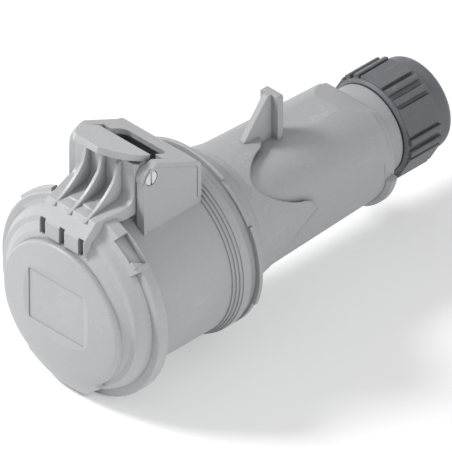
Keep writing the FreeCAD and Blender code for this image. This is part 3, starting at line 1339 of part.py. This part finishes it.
# Insulating insert with a chamber for each contact.
def contact_carrier():
    s = size
    body = make_body("contact_carrier")
    back = s.carrier_rear_y
    revolve(body, "blank", [
        (ZERO, s.carrier_face_y),
        (s.carrier_radius - 1, s.carrier_face_y),
        (s.carrier_radius, s.carrier_face_y + 1),
        (s.carrier_radius, s.seat_rear_y),
        (s.carrier_flange_radius, s.seat_rear_y),
        (s.carrier_flange_radius, back),
        (ZERO, back),
    ])
    places = contact_places()
    middle = (ZERO, ZERO)
    through = [(centre, s.pin_hole_radius + more) for centre, more in places]
    through.append((middle, s.pilot_bore_radius + 0.5))
    extrude(body, "pin_holes", "XZ", circles=through, cut=True, start=ZERO, length=back)
    chambers = [(centre, s.contact_radius + s.contact_play + more) for centre, more in places]
    chambers.append((middle, s.pilot_radius + s.contact_play))
    depth = back - s.carrier_face_y - s.face_web
    extrude(body, "chambers", "XZ", circles=chambers, cut=True, start=-back, length=depth,
            back=True)
    return body


# Insulating plate that keeps the contacts in their chambers.
def carrier_cover():
    s = size
    body = make_body("carrier_cover")
    start = s.carrier_rear_y
    places = contact_places()
    middle = (ZERO, ZERO)
    circles = [(centre, s.terminal_radius + s.contact_play + more) for centre, more in places]
    circles.append((middle, s.pilot_radius + s.contact_play))
    circles.append((middle, s.cover_radius))
    extrude(body, "plate", "XZ", circles=circles, start=-start, length=s.cover_thickness, back=True)
    seats = [(centre, s.contact_collar_radius + s.contact_play + more) for centre, more in places]
    seats.append((middle, s.pilot_collar_radius + s.contact_play))
    extrude(body, "collar_seats", "XZ", circles=seats, cut=True, start=-start,
            length=s.contact_collar + 0.1)
    hole_sketch = make_sketch(
        body, "screw_hole_outline", "XZ", height=-start + 1,
        circles=[((ZERO, s.cover_screw_circle), s.cover_screw_radius + 0.3)])
    hole = add_feature(body, "Pocket", "screw_hole", hole_sketch, Length=s.cover_thickness + 2)
    pattern_round(body, "screw_holes", [hole], s.cover_screw_count, hole_sketch)
    return body


# Brass socket with a slit, springy front and a screw terminal behind, drawn on its own axis.
def contact(name, number):
    s = size
    more = s.earth_extra if number == 0 else ZERO
    body = make_body(name)
    start = s.carrier_face_y + s.face_web + s.contact_play
    collar = s.carrier_rear_y
    collar_end = collar + s.contact_collar
    end = collar + s.cover_thickness + s.terminal_length
    groove = start + s.spring_groove_start
    outer = s.contact_radius + more
    neck = outer - s.spring_groove_depth
    revolve(body, "turned", [
        (s.contact_bore_radius + more, start),
        (outer - 0.6, start),
        (outer, start + 0.6),
        (outer, groove),
        (neck, groove),
        (neck, groove + s.spring_groove_width),
        (outer, groove + s.spring_groove_width),
        (outer, collar),
        (s.contact_collar_radius + more, collar),
        (s.contact_collar_radius + more, collar_end),
        (s.terminal_radius + more, collar_end),
        (s.terminal_radius + more, end),
        (s.wire_bore_radius + more, end),
        (s.wire_bore_radius + more, end - s.wire_bore_depth),
        (ZERO, end - s.wire_bore_depth),
        (ZERO, start + s.contact_bore_depth),
        (s.contact_bore_radius + more, start + s.contact_bore_depth),
    ])
    half = s.contact_slit / 2
    wide = outer + 2
    for label, outline in (("upright_slit", rectangle(-half, -wide, half, wide)),
                           ("level_slit", rectangle(-wide, -half, wide, half))):
        extrude(body, label, "XZ", [outline], cut=True, start=-(start - 1),
                length=s.contact_slit_length + 1)
    holes = []
    for place in (s.first_screw, s.first_screw + s.screw_pitch):
        holes.append(((ZERO, end - place), s.screw_radius + s.screw_play))
    extrude(body, "screw_holes", "XY", circles=holes, cut=True, start=s.terminal_radius + 4,
            length=s.terminal_radius + 4 - s.wire_bore_radius / 2)
    place_contact(body, number)
    return body


def place_contact(item, number):
    """Puts a piece drawn on the main axis at its contact's place, its own +Z outwards."""
    s = size
    angle = contact_angle(number)
    x, z = s.contact_pitch_radius * sine(angle), s.contact_pitch_radius * cosine(angle)
    item.Placement = Placement(Vector(float(x), 0, float(z)), Rotation(Vector(0, 1, 0), float(angle)))
    item.setExpression("Placement.Base.x", x.formula)
    item.setExpression("Placement.Base.z", z.formula)
    item.setExpression("Placement.Rotation.Angle", angle.formula)


# Thin pilot socket on the main axis.
def contact_pilot():
    s = size
    body = make_body("contact_pilot")
    start = s.carrier_face_y + s.face_web + s.contact_play
    collar = s.carrier_rear_y
    collar_end = collar + s.contact_collar
    end = collar + s.cover_thickness + s.pilot_length
    revolve(body, "turned", [
        (s.pilot_bore_radius, start),
        (s.pilot_radius, start),
        (s.pilot_radius, collar),
        (s.pilot_collar_radius, collar),
        (s.pilot_collar_radius, collar_end),
        (s.pilot_radius, collar_end),
        (s.pilot_radius, end),
        (s.pilot_bore_radius, end),
        (s.pilot_bore_radius, end - s.pilot_length * 0.6),
        (ZERO, end - s.pilot_length * 0.6),
        (ZERO, start + s.contact_bore_depth * 0.7),
        (s.pilot_bore_radius, start + s.contact_bore_depth * 0.7),
    ])
    return body


def group(name, shapes):
    """One node that holds several separate, alike solids."""
    item = doc.addObject("Part::Feature", name)
    item.Label = name
    item.Shape = Part.makeCompound(shapes)
    return item


def slotted_screw(radius, length, slot, at):
    """Grub screw standing on the XY plane, its driver slot in the upper end."""
    screw = Part.makeCylinder(radius, length, Vector(0, at, 0))
    cutter = Part.makeBox(2 * radius + 1, slot, slot, Vector(-radius - 0.5, at - slot / 2, length - slot))
    return screw.cut(cutter)


# Clamping screws of the terminals, two in each, driven from outside.
def terminal_screws():
    s = size
    end = float(s.carrier_rear_y + s.cover_thickness + s.terminal_length)
    shapes = []
    for number in range(int(float(s.contact_count))):
        more = float(s.earth_extra) if number == 0 else 0.0
        angle = contact_angle(number)
        for place in (float(s.first_screw), float(s.first_screw + s.screw_pitch)):
            screw = slotted_screw(float(s.screw_radius), float(s.screw_length),
                                  float(s.screw_slot), end - place)
            lift = float(s.contact_pitch_radius) + float(s.screw_start) + more
            screw.translate(Vector(0, 0, lift))
            screw.rotate(Vector(0, 0, 0), Vector(0, 1, 0), float(angle))
            shapes.append(screw)
    return group("terminal_screws", shapes)


# Spring rings in the grooves of the sockets.
def socket_springs():
    s = size
    start = float(s.carrier_face_y + s.face_web + s.contact_play + s.spring_groove_start)
    middle = start + float(s.spring_groove_width) / 2
    shapes = []
    for number, (centre, more) in enumerate(contact_places()):
        wire = float(s.spring_groove_width) / 2 - 0.15
        ring = float(s.contact_radius + more - s.spring_groove_depth) + wire + 0.05
        place = Vector(float(centre[0]), middle, float(centre[1]))
        shapes.append(Part.makeTorus(ring, wire, place, Vector(0, 1, 0)))
    return group("socket_springs", shapes)


# Screws that hold the cover, and with it the carrier, to the front housing.
def cover_screws():
    s = size
    face = float(s.carrier_rear_y + s.cover_thickness)
    length = float(s.cover_thickness + s.cover_screw_depth)
    head, height = float(s.cover_screw_head), float(s.cover_screw_head_height)
    shank = Part.makeCylinder(float(s.cover_screw_radius) - 0.05, length + height,
                              Vector(0, face - length, 0), Vector(0, 1, 0))
    cap = Part.makeCylinder(head, height, Vector(0, face, 0), Vector(0, 1, 0))
    slot = Part.makeBox(2 * head + 1, height / 2, 0.8, Vector(-head - 0.5, face + height / 2, -0.4))
    screw = shank.fuse(cap).cut(slot)
    screw.translate(Vector(0, 0, float(s.cover_screw_circle)))
    count = int(float(s.cover_screw_count))
    shapes = []
    for number in range(count):
        copy = screw.copy()
        copy.rotate(Vector(0, 0, 0), Vector(0, 1, 0), 360.0 * number / count)
        shapes.append(copy)
    return group("cover_screws", shapes)


CONTACT_NAMES = ("contact_earth", "contact_neutral", "contact_line_1", "contact_line_2",
                 "contact_line_3")

parts = [
    front_housing(),
    hinge_pin(),
    lid_shell(),
    lid_gasket(),
    lid_spring(),
    housing_seal(),
    rear_housing(),
    gland_seal(),
    clamp_ring(),
    thrust_ring(),
    gland_nut(),
    contact_carrier(),
    carrier_cover(),
    contact_pilot(),
    terminal_screws(),
    socket_springs(),
    cover_screws(),
]
parts += [contact(name, number) for number, name in enumerate(CONTACT_NAMES)]
doc.recompute()

faulty = [item.Name for item in doc.Objects if "Invalid" in item.State or "Error" in item.State]
if faulty:
    raise SystemExit(f"failed objects: {faulty}")
for item in parts:
    if item.Shape.isNull() or not item.Shape.isValid():
        raise SystemExit(f"bad shape: {item.Label}")

os.makedirs("parts", exist_ok=True)
for item in parts:
    item.Shape.exportStep(os.path.join("parts", item.Label + ".step"))
    print(item.Label, len(item.Shape.Solids), round(item.Shape.Volume))
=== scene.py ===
import json
import math

import bmesh
import bpy
from mathutils import Matrix, Vector


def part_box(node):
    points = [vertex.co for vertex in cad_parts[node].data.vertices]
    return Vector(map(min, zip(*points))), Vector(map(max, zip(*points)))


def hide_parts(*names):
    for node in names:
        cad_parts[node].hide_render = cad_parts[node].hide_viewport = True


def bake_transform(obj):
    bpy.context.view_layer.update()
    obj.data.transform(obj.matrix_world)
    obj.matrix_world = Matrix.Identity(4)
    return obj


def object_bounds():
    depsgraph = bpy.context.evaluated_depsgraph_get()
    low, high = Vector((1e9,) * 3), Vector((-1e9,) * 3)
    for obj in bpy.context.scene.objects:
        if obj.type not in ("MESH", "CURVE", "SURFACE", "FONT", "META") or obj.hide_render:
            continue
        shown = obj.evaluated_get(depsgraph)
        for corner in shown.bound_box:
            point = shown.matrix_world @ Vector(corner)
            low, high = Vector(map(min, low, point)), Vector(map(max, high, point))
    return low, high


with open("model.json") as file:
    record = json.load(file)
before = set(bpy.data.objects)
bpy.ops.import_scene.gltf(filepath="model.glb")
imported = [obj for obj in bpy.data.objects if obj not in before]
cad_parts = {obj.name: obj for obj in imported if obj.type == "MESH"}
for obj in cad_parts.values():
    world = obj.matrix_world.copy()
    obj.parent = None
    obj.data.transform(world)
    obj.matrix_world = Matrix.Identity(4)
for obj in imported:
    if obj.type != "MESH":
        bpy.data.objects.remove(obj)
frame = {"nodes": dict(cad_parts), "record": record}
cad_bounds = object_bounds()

# Frame of the part: metres, +Y towards the cable end, +Z up, origin in the plane of the socket's mouth.

# The drawing's isometric view, from +X, -Y and +Z
VIEW_RIGHT = Vector((1, 1, 0)).normalized()
VIEW_UP = Vector((-1, 1, 2)).normalized()
VIEW_BACK = Vector((1, -1, 1)).normalized()
VIEW_CENTRE = Vector((0, 0.007, 0)) + VIEW_RIGHT * 0.0685 + VIEW_UP * 0.0316
FRAME_WIDTH = 0.2325
FOCAL_PLANE = -0.056  # where FRAME_WIDTH holds, from VIEW_CENTRE along VIEW_BACK
LENS = 1600.0  # millimetres, as is SENSOR
SENSOR = 36.0

# Torsion spring of the lid
HINGE_PIN = Vector((0, 0.0235, 0.0734))
SPRING_WIRE = 0.0007  # radius
SPRING_COIL = 0.0044  # radius to the middle of the wire
SPRING_TURNS = 6.0
SPRING_FOOT = Vector((0.0165, -0.0233))  # end of the long leg from the pin, along Y and Z
SPRING_STEP = math.radians(12)
WIRE_SIDES = 14

# Colours of the plastics
HOUSING = (0.48, 0.493, 0.507)
GRIP = tuple(c * 0.96 for c in HOUSING)
LID = (0.51, 0.523, 0.537)
NUT = (0.147, 0.155, 0.17)
BLACK = (0.022, 0.022, 0.025)

# Surface, marks of use and painted shade in corners and creases; the scales of the patterns are per metre
GRAIN_STRENGTH = 0.7
COARSE_GRAIN = 0.38  # scale of the coarse grain beside that of the fine one
COARSE_HEIGHT = 0.7  # height of the coarse grain beside that of the fine one
CLOUD_SCALE = 22.0
MOTTLE_SCALE = 420.0
WEAR_PATCH_SCALE = 160.0
SCUFF_PATCH_SCALE = 40.0
GLOSS_SPREAD = 0.08  # how far the roughness goes up and down with the unevenness
EDGE_POLISH = 0.12  # how much smoother a worn edge is
GRIME_MATT = 0.15  # how much rougher a grimy corner is
# How far the occlusion looks for the painted shade of corners (wide) and creases (narrow), which also marks grimy
# corners
SHADE_AND_GRIME_REACH = 0.006
CREASE_REACH = 0.0014
SCUFF_SHARE = 0.35  # paleness of a scuff beside that of a worn edge
SCUFF_WAYS = ((900.0, 60.0, 900.0), (240.0, 150.0, 1300.0))
SCUFF_TURN = (0.3, 0.2, 0.5)
RUBBER_ROUGHNESS = (0.6, 0.78)
RUBBER_DUST = 0.035
SHADE_SAMPLES = 6
ROUNDING_SAMPLES = 8

# Floor and light
FLOOR_HALF = 4.0
FLOOR_CENTRE = 0.1  # along Y, about half-way along the part
FLOOR_GAP = 0.0005  # under the part's lowest point
FLOOR_WHITES = ((0.88, 0.88, 0.88), (0.92, 0.92, 0.92))
GLOW_START, GLOW_END = 0.35, 1.2  # distances between which the floor turns white
GLOW_NEAR = 0.3
AMBIENT = 0.36
WHITE = 1.0
KEY_POWER = 19
SIDE_POWER = 5


def new_group(name, inputs, outputs):
    """Shader node group with named sockets; returns it with its own inputs and outputs."""
    group = bpy.data.node_groups.new(name, "ShaderNodeTree")
    for label, kind, value in inputs:
        socket = group.interface.new_socket(label, in_out="INPUT", socket_type=kind)
        if value is not None:
            socket.default_value = value
    for label, kind in outputs:
        group.interface.new_socket(label, in_out="OUTPUT", socket_type=kind)
    return group, group.nodes.new("NodeGroupInput").outputs, group.nodes.new("NodeGroupOutput").inputs


def spread(tree, source, from_low, from_high, low=0.0, high=1.0):
    """Maps a value from one range to another and clamps it."""
    node = tree.nodes.new("ShaderNodeMapRange")
    tree.links.new(source, node.inputs["Value"])
    for label, value in (("From Min", from_low), ("From Max", from_high), ("To Min", low), ("To Max", high)):
        node.inputs[label].default_value = value
    return node.outputs["Result"]


def combine(tree, operation, first, second):
    """Joins two values by a plain operation; either one may be a number."""
    node = tree.nodes.new("ShaderNodeMath")
    node.operation = operation
    for socket, value in zip(node.inputs, (first, second)):
        if isinstance(value, float):
            socket.default_value = value
        else:
            tree.links.new(value, socket)
    return node.outputs["Value"]


def noise(tree, vector, scale, detail=2.0, roughness=0.5):
    """Soft noise from 0 to 1; the scale may be a number or a socket."""
    node = tree.nodes.new("ShaderNodeTexNoise")
    node.inputs["Detail"].default_value = detail
    node.inputs["Roughness"].default_value = roughness
    tree.links.new(vector, node.inputs["Vector"])
    if isinstance(scale, float):
        node.inputs["Scale"].default_value = scale
    else:
        tree.links.new(scale, node.inputs["Scale"])
    return node.outputs["Fac"]


def moulded_grain_group():
    """Spark-eroded grain of a mould as a height, and the plastic's slow and fine unevenness as a value."""
    group, given, result = new_group(
        "moulded_grain",
        [("Vector", "NodeSocketVector", None), ("Scale", "NodeSocketFloat", 2600.0)],
        [("Height", "NodeSocketFloat"), ("Unevenness", "NodeSocketFloat")])
    fine = noise(group, given["Vector"], given["Scale"], roughness=0.6)
    coarse_scale = combine(group, "MULTIPLY", given["Scale"], COARSE_GRAIN)
    coarse = noise(group, given["Vector"], coarse_scale, detail=1.0)
    height = combine(group, "ADD", fine, combine(group, "MULTIPLY", coarse, COARSE_HEIGHT))
    slow = noise(group, given["Vector"], CLOUD_SCALE, detail=3.0)
    mottle = noise(group, given["Vector"], MOTTLE_SCALE, detail=4.0, roughness=0.7)
    uneven = combine(group, "ADD",
                     combine(group, "MULTIPLY", spread(group, slow, 0.32, 0.68), 0.5),
                     combine(group, "MULTIPLY", spread(group, mottle, 0.35, 0.65), 0.5))
    group.links.new(height, result["Height"])
    group.links.new(uneven, result["Unevenness"])
    return group


def corner_shade(tree, distance):
    """1 on an open face, less in a corner, looking as far as the distance."""
    corner = tree.nodes.new("ShaderNodeAmbientOcclusion")
    corner.samples = SHADE_SAMPLES
    corner.inputs["Distance"].default_value = distance
    return corner.outputs["AO"]


def edge_wear_and_shade_group():
    """Rounded normal along the edges, with a mask of the worn edges and one of the corners and creases, for
    painted shade and dirt there.
    """
    group, given, result = new_group(
        "edge_wear_and_shade",
        [("Vector", "NodeSocketVector", None), ("Radius", "NodeSocketFloat", 0.0005)],
        [("Normal", "NodeSocketVector"), ("Worn", "NodeSocketFloat"), ("Painted_shade_and_grime", "NodeSocketFloat")])
    bevel = group.nodes.new("ShaderNodeBevel")
    bevel.samples = ROUNDING_SAMPLES
    group.links.new(given["Radius"], bevel.inputs["Radius"])
    group.links.new(bevel.outputs["Normal"], result["Normal"])
    surface = group.nodes.new("ShaderNodeNewGeometry")
    dot = group.nodes.new("ShaderNodeVectorMath")
    dot.operation = "DOT_PRODUCT"
    group.links.new(bevel.outputs["Normal"], dot.inputs[0])
    group.links.new(surface.outputs["Normal"], dot.inputs[1])
    bend = spread(group, dot.outputs["Value"], 0.985, 0.8)  # 0 on a flat face, 1 on a sharp edge
    wide = corner_shade(group, SHADE_AND_GRIME_REACH)
    narrow = corner_shade(group, CREASE_REACH)
    # Painted shade: this mask of corners and creases darkens the plastics' colour where the occlusion finds
    # nearby faces
    closed = combine(group, "MAXIMUM", spread(group, wide, 0.75, 0.25), spread(group, narrow, 0.85, 0.45))
    clouds = noise(group, given["Vector"], WEAR_PATCH_SCALE, detail=3.0, roughness=0.65)
    patches = spread(group, clouds, 0.36, 0.55)
    open_side = spread(group, wide, 0.8, 0.95)
    worn = combine(group, "MULTIPLY", combine(group, "MULTIPLY", bend, open_side), patches)
    group.links.new(worn, result["Worn"])
    group.links.new(closed, result["Painted_shade_and_grime"])
    return group


def scuff_group():
    """Short handling scratches that run two ways, as a mask."""
    group, given, result = new_group(
        "scuffs", [("Vector", "NodeSocketVector", None)], [("Mask", "NodeSocketFloat")])
    total = None
    for stretch in SCUFF_WAYS:
        place = group.nodes.new("ShaderNodeMapping")
        place.inputs["Scale"].default_value = stretch
        place.inputs["Rotation"].default_value = SCUFF_TURN
        group.links.new(given["Vector"], place.inputs["Vector"])
        line = spread(group, noise(group, place.outputs["Vector"], 1.0, detail=1.0), 0.64, 0.68)
        total = line if total is None else combine(group, "MAXIMUM", total, line)
    patch = spread(group, noise(group, given["Vector"], SCUFF_PATCH_SCALE), 0.46, 0.6)
    group.links.new(combine(group, "MULTIPLY", total, patch), result["Mask"])
    return group


GRAIN = moulded_grain_group()
EDGES = edge_wear_and_shade_group()
SCUFFS = scuff_group()


def place_group(tree, group, vector, **values):
    """Puts a group into a material with values of its own; returns its outputs."""
    node = tree.nodes.new("ShaderNodeGroup")
    node.node_tree = group
    tree.links.new(vector, node.inputs["Vector"])
    for label, value in values.items():
        node.inputs[label].default_value = value
    return node.outputs


def blend_colour(tree, factor, first, second):
    """Mixes two colours by a mask; either one may be a plain colour."""
    node = tree.nodes.new("ShaderNodeMix")
    node.data_type = "RGBA"
    tree.links.new(factor, node.inputs["Factor"])
    colours = [socket for socket in node.inputs if socket.type == "RGBA"]
    for socket, value in zip(colours, (first, second)):
        if isinstance(value, tuple):
            socket.default_value = (*value, 1)
        else:
            tree.links.new(value, socket)
    return [socket for socket in node.outputs if socket.type == "RGBA"][0]


def start_material(name, specular, metallic=0.0):
    """New material with its Principled shader and the coordinates that its patterns lie on."""
    material = bpy.data.materials.new(name)
    material.use_nodes = True
    tree = material.node_tree
    shader = tree.nodes["Principled BSDF"]
    shader.inputs["Specular IOR Level"].default_value = specular
    shader.inputs["Metallic"].default_value = metallic
    vector = tree.nodes.new("ShaderNodeTexCoord").outputs["Object"]
    return material, tree, shader, vector


def relief(tree, shader, height, depth, base_normal):
    """Raises a fine pattern over the normal that the edges give."""
    bump = tree.nodes.new("ShaderNodeBump")
    bump.inputs["Strength"].default_value = GRAIN_STRENGTH
    bump.inputs["Distance"].default_value = depth
    tree.links.new(height, bump.inputs["Height"])
    tree.links.new(base_normal, bump.inputs["Normal"])
    tree.links.new(bump.outputs["Normal"], shader.inputs["Normal"])


def moulded(name, colour, roughness, grain_scale=2000.0, depth=0.00012, edge=0.0005, wear=0.75, painted_shade=0.85):
    """Moulded plastic: eroded grain, uneven tone and gloss, polished edges, scuffs, painted shade darkening the
    corners and creases, which dirt also makes rougher.
    """
    material, tree, shader, vector = start_material(name, specular=0.45)
    grain = place_group(tree, GRAIN, vector, Scale=grain_scale)
    edges = place_group(tree, EDGES, vector, Radius=edge)
    scuffs = place_group(tree, SCUFFS, vector)
    dull = tuple(c * 0.92 for c in colour)
    pale = tuple(c + (1 - c) * 0.32 for c in colour)
    shaded_tone = tuple(c * 0.45 for c in colour)
    tone = blend_colour(tree, grain["Unevenness"], dull, colour)
    # Painted shade: corners and creases are blended towards a dark copy of the colour
    tone = blend_colour(tree, combine(tree, "MULTIPLY", edges["Painted_shade_and_grime"], painted_shade), tone, shaded_tone)
    marks = combine(tree, "MAXIMUM", combine(tree, "MULTIPLY", edges["Worn"], wear),
                    combine(tree, "MULTIPLY", scuffs["Mask"], SCUFF_SHARE * wear))
    tone = blend_colour(tree, marks, tone, pale)
    tree.links.new(tone, shader.inputs["Base Color"])
    rough = spread(tree, grain["Unevenness"], 0.0, 1.0, roughness - GLOSS_SPREAD, roughness + GLOSS_SPREAD)
    rough = combine(tree, "SUBTRACT", rough, combine(tree, "MULTIPLY", edges["Worn"], EDGE_POLISH))
    rough = combine(tree, "ADD", rough, combine(tree, "MULTIPLY", edges["Painted_shade_and_grime"], GRIME_MATT))
    tree.links.new(rough, shader.inputs["Roughness"])
    relief(tree, shader, grain["Height"], depth, edges["Normal"])
    return material


def rubber(name, colour):
    """Matt rubber with an uneven bloom of dust."""
    material, tree, shader, vector = start_material(name, specular=0.3)
    grain = place_group(tree, GRAIN, vector, Scale=1500.0)
    edges = place_group(tree, EDGES, vector, Radius=0.0003)
    dusty = tuple(c + RUBBER_DUST for c in colour)
    tree.links.new(blend_colour(tree, grain["Unevenness"], colour, dusty), shader.inputs["Base Color"])
    rough = spread(tree, grain["Unevenness"], 0.0, 1.0, *RUBBER_ROUGHNESS)
    tree.links.new(rough, shader.inputs["Roughness"])
    relief(tree, shader, grain["Height"], depth=0.00006, base_normal=edges["Normal"])
    return material


def metal(name, colour, tarnish, roughness, stretch):
    """Bright metal with tool marks along one direction and a dull film, thickest in the corners."""
    material, tree, shader, vector = start_material(name, specular=0.5, metallic=1.0)
    grain = place_group(tree, GRAIN, vector, Scale=900.0)
    edges = place_group(tree, EDGES, vector, Radius=0.00025)
    place = tree.nodes.new("ShaderNodeMapping")
    place.inputs["Scale"].default_value = stretch
    tree.links.new(vector, place.inputs["Vector"])
    marks = noise(tree, place.outputs["Vector"], 1.0, detail=3.0, roughness=0.7)
    film = combine(tree, "MAXIMUM", combine(tree, "MULTIPLY", grain["Unevenness"], 0.45), edges["Painted_shade_and_grime"])
    tree.links.new(blend_colour(tree, film, colour, tarnish), shader.inputs["Base Color"])
    rough = combine(tree, "ADD", spread(tree, marks, 0.3, 0.7, roughness - 0.07, roughness + 0.1),
                    combine(tree, "MULTIPLY", film, 0.14))
    tree.links.new(rough, shader.inputs["Roughness"])
    relief(tree, shader, marks, depth=0.00002, base_normal=edges["Normal"])
    return material


# The large plastic pieces have a finish of their own, the others that of their slot.
MATERIALS = {
    "front_housing": moulded("housing_plastic", HOUSING, 0.42, edge=0.0006),
    "rear_housing": moulded("grip_plastic", GRIP, 0.5, grain_scale=1300.0, depth=0.0002, edge=0.0011),
    "lid_shell": moulded("lid_plastic", LID, 0.38, grain_scale=2200.0, depth=0.0001, edge=0.0006),
    "gland_nut": moulded("nut_plastic", NUT, 0.44, grain_scale=1800.0, depth=0.00014, wear=0.5),
    "insert": moulded("insert_plastic", BLACK, 0.4, grain_scale=2600.0, depth=0.00008, edge=0.0003,
                      wear=0.3, painted_shade=0.2),
    "seal": rubber("seal_rubber", (0.012, 0.012, 0.012)),
    "steel": metal("zinc_steel", colour=(0.70, 0.71, 0.72), tarnish=(0.48, 0.49, 0.50), roughness=0.26,
                   stretch=(500.0, 2600.0, 2600.0)),
    "contact": metal("turned_brass", colour=(0.80, 0.57, 0.26), tarnish=(0.48, 0.30, 0.12), roughness=0.24,
                     stretch=(260.0, 4200.0, 260.0)),
}


def dress_solids():
    """Gives every solid of the part its material."""
    slots = {part["node"]: part["material_slot"] for part in frame["record"]["subparts"]}
    for node, item in frame["nodes"].items():
        item.data.materials.clear()
        item.data.materials.append(MATERIALS.get(node, MATERIALS.get(slots[node])))


def add_object(name, data):
    """Object of the scene for a mesh, a lamp or the camera."""
    item = bpy.data.objects.new(name, data)
    bpy.context.scene.collection.objects.link(item)
    return item


def spring_outline():
    """Half the spring's wound length, the long leg's end and the angle where it leaves, the short leg's reach."""
    low, high = (Vector(corner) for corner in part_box("lid_spring"))
    half = (high.x - low.x) / 2 - SPRING_WIRE
    foot = Vector((0, SPRING_FOOT.x, SPRING_FOOT.y))
    lean = math.atan2(foot.z, foot.y) + math.acos(SPRING_COIL / foot.length)
    return half, foot, lean, HINGE_PIN.y - low.y


def make_spring():
    """Torsion spring on the hinge pin: its short leg follows the lid, its long leg stays on the housing."""
    half, foot, lean, short_reach = spring_outline()
    around = 2 * math.pi * SPRING_TURNS + math.pi / 2 - lean
    steps = round(around / SPRING_STEP)
    shape = bmesh.new()
    ring = bmesh.ops.create_circle(shape, segments=WIRE_SIDES, radius=SPRING_WIRE)["verts"]
    bmesh.ops.rotate(shape, verts=ring, cent=(0, 0, 0), matrix=Matrix.Rotation(math.pi / 2, 3, "X"))
    bmesh.ops.translate(shape, verts=ring, vec=HINGE_PIN + Vector((-half, 0, SPRING_COIL)))
    first = list(shape.edges)
    wound = bmesh.ops.spin(shape, geom=ring + first, cent=HINGE_PIN, axis=(-1, 0, 0), angle=around, steps=steps,
                           dvec=(2 * half / steps, 0, 0), use_merge=False)["geom_last"]
    last = [item for item in wound if isinstance(item, bmesh.types.BMEdge)]
    side = Vector((0, math.cos(lean), math.sin(lean))) * SPRING_COIL
    for edges, way in ((first, Vector((0, -short_reach, 0))), (last, foot - side)):
        leg = bmesh.ops.extrude_edge_only(shape, edges=edges)["geom"]
        tip = [item for item in leg if isinstance(item, bmesh.types.BMVert)]
        bmesh.ops.translate(shape, verts=tip, vec=way)
        rim = [item for item in leg if isinstance(item, bmesh.types.BMEdge) and item.is_boundary]
        bmesh.ops.holes_fill(shape, edges=rim)
    bmesh.ops.recalc_face_normals(shape, faces=shape.faces)
    for face in shape.faces:
        face.smooth = len(face.verts) == 4
    mesh = bpy.data.meshes.new("torsion_spring")
    shape.to_mesh(mesh)
    shape.free()
    mesh.materials.append(MATERIALS["steel"])
    spring = add_object("torsion_spring", mesh)
    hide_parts("lid_spring")
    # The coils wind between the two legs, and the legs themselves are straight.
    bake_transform(spring)


def seen_directly(tree):
    """1 where the camera, a reflection or a refraction looks, 0 for the light that falls on the part."""
    path = tree.nodes.new("ShaderNodeLightPath")
    return combine(tree, "MAXIMUM", path.outputs["Is Camera Ray"],
                   combine(tree, "MAXIMUM", path.outputs["Is Glossy Ray"], path.outputs["Is Transmission Ray"]))


def make_floor():
    """Wide floor under the part that keeps its shadow and turns white further out."""
    mesh = bpy.data.meshes.new("floor")
    shape = bmesh.new()
    bmesh.ops.create_grid(shape, x_segments=1, y_segments=1, size=FLOOR_HALF)
    bmesh.ops.translate(shape, verts=shape.verts, vec=(0, FLOOR_CENTRE, cad_bounds[0][2] - FLOOR_GAP))
    shape.to_mesh(mesh)
    shape.free()
    floor = add_object("floor", mesh)
    material, tree, shader, vector = start_material("floor_white", specular=0.2)
    shade = noise(tree, vector, 3.0)
    tree.links.new(blend_colour(tree, shade, *FLOOR_WHITES), shader.inputs["Base Color"])
    shader.inputs["Roughness"].default_value = 0.9
    shader.inputs["Emission Color"].default_value = (1, 1, 1, 1)
    reach = tree.nodes.new("ShaderNodeVectorMath")
    reach.operation = "LENGTH"
    tree.links.new(vector, reach.inputs[0])
    glow = spread(tree, reach.outputs["Value"], GLOW_START, GLOW_END, GLOW_NEAR, WHITE)
    tree.links.new(combine(tree, "MULTIPLY", glow, seen_directly(tree)), shader.inputs["Emission Strength"])
    mesh.materials.append(material)


def add_area(name, place, target, size, power):
    """Round lamp that faces a point on the part's axis."""
    lamp = bpy.data.lights.new(name, "AREA")
    lamp.shape = "DISK"
    lamp.size = size
    lamp.energy = power
    item = add_object(name, lamp)
    item.location = place
    item.rotation_euler = (Vector(target) - Vector(place)).to_track_quat("-Z", "Y").to_euler()


def make_light():
    """Soft studio light; the white seen directly and in reflections comes from the world."""
    world = bpy.data.worlds.new("world")
    bpy.context.scene.world = world
    world.use_nodes = True
    tree = world.node_tree
    background = tree.nodes["Background"]
    background.inputs["Color"].default_value = (1, 1, 1, 1)
    tree.links.new(spread(tree, seen_directly(tree), 0.0, 1.0, AMBIENT, WHITE), background.inputs["Strength"])
    add_area("key", place=(-0.9, -0.7, 1.1), target=(0, 0.08, 0), size=0.45, power=KEY_POWER)
    add_area("side", place=(1.3, -0.1, 0.5), target=(0, 0.1, 0), size=0.7, power=SIDE_POWER)


def make_camera():
    """The drawing's isometric view, through a lens so long that it hardly tapers."""
    data = bpy.data.cameras.new("camera")
    data.sensor_width = SENSOR
    data.lens = LENS
    distance = FRAME_WIDTH * LENS / SENSOR
    data.clip_end = 2 * distance
    item = add_object("camera", data)
    turn = Matrix((VIEW_RIGHT, VIEW_UP, VIEW_BACK)).transposed().to_4x4()
    item.matrix_world = Matrix.Translation(VIEW_CENTRE + VIEW_BACK * (distance + FOCAL_PLANE)) @ turn
    bpy.context.scene.camera = item


dress_solids()
make_spring()
make_floor()
make_light()
make_camera()
bpy.context.scene.view_settings.view_transform = "Standard"
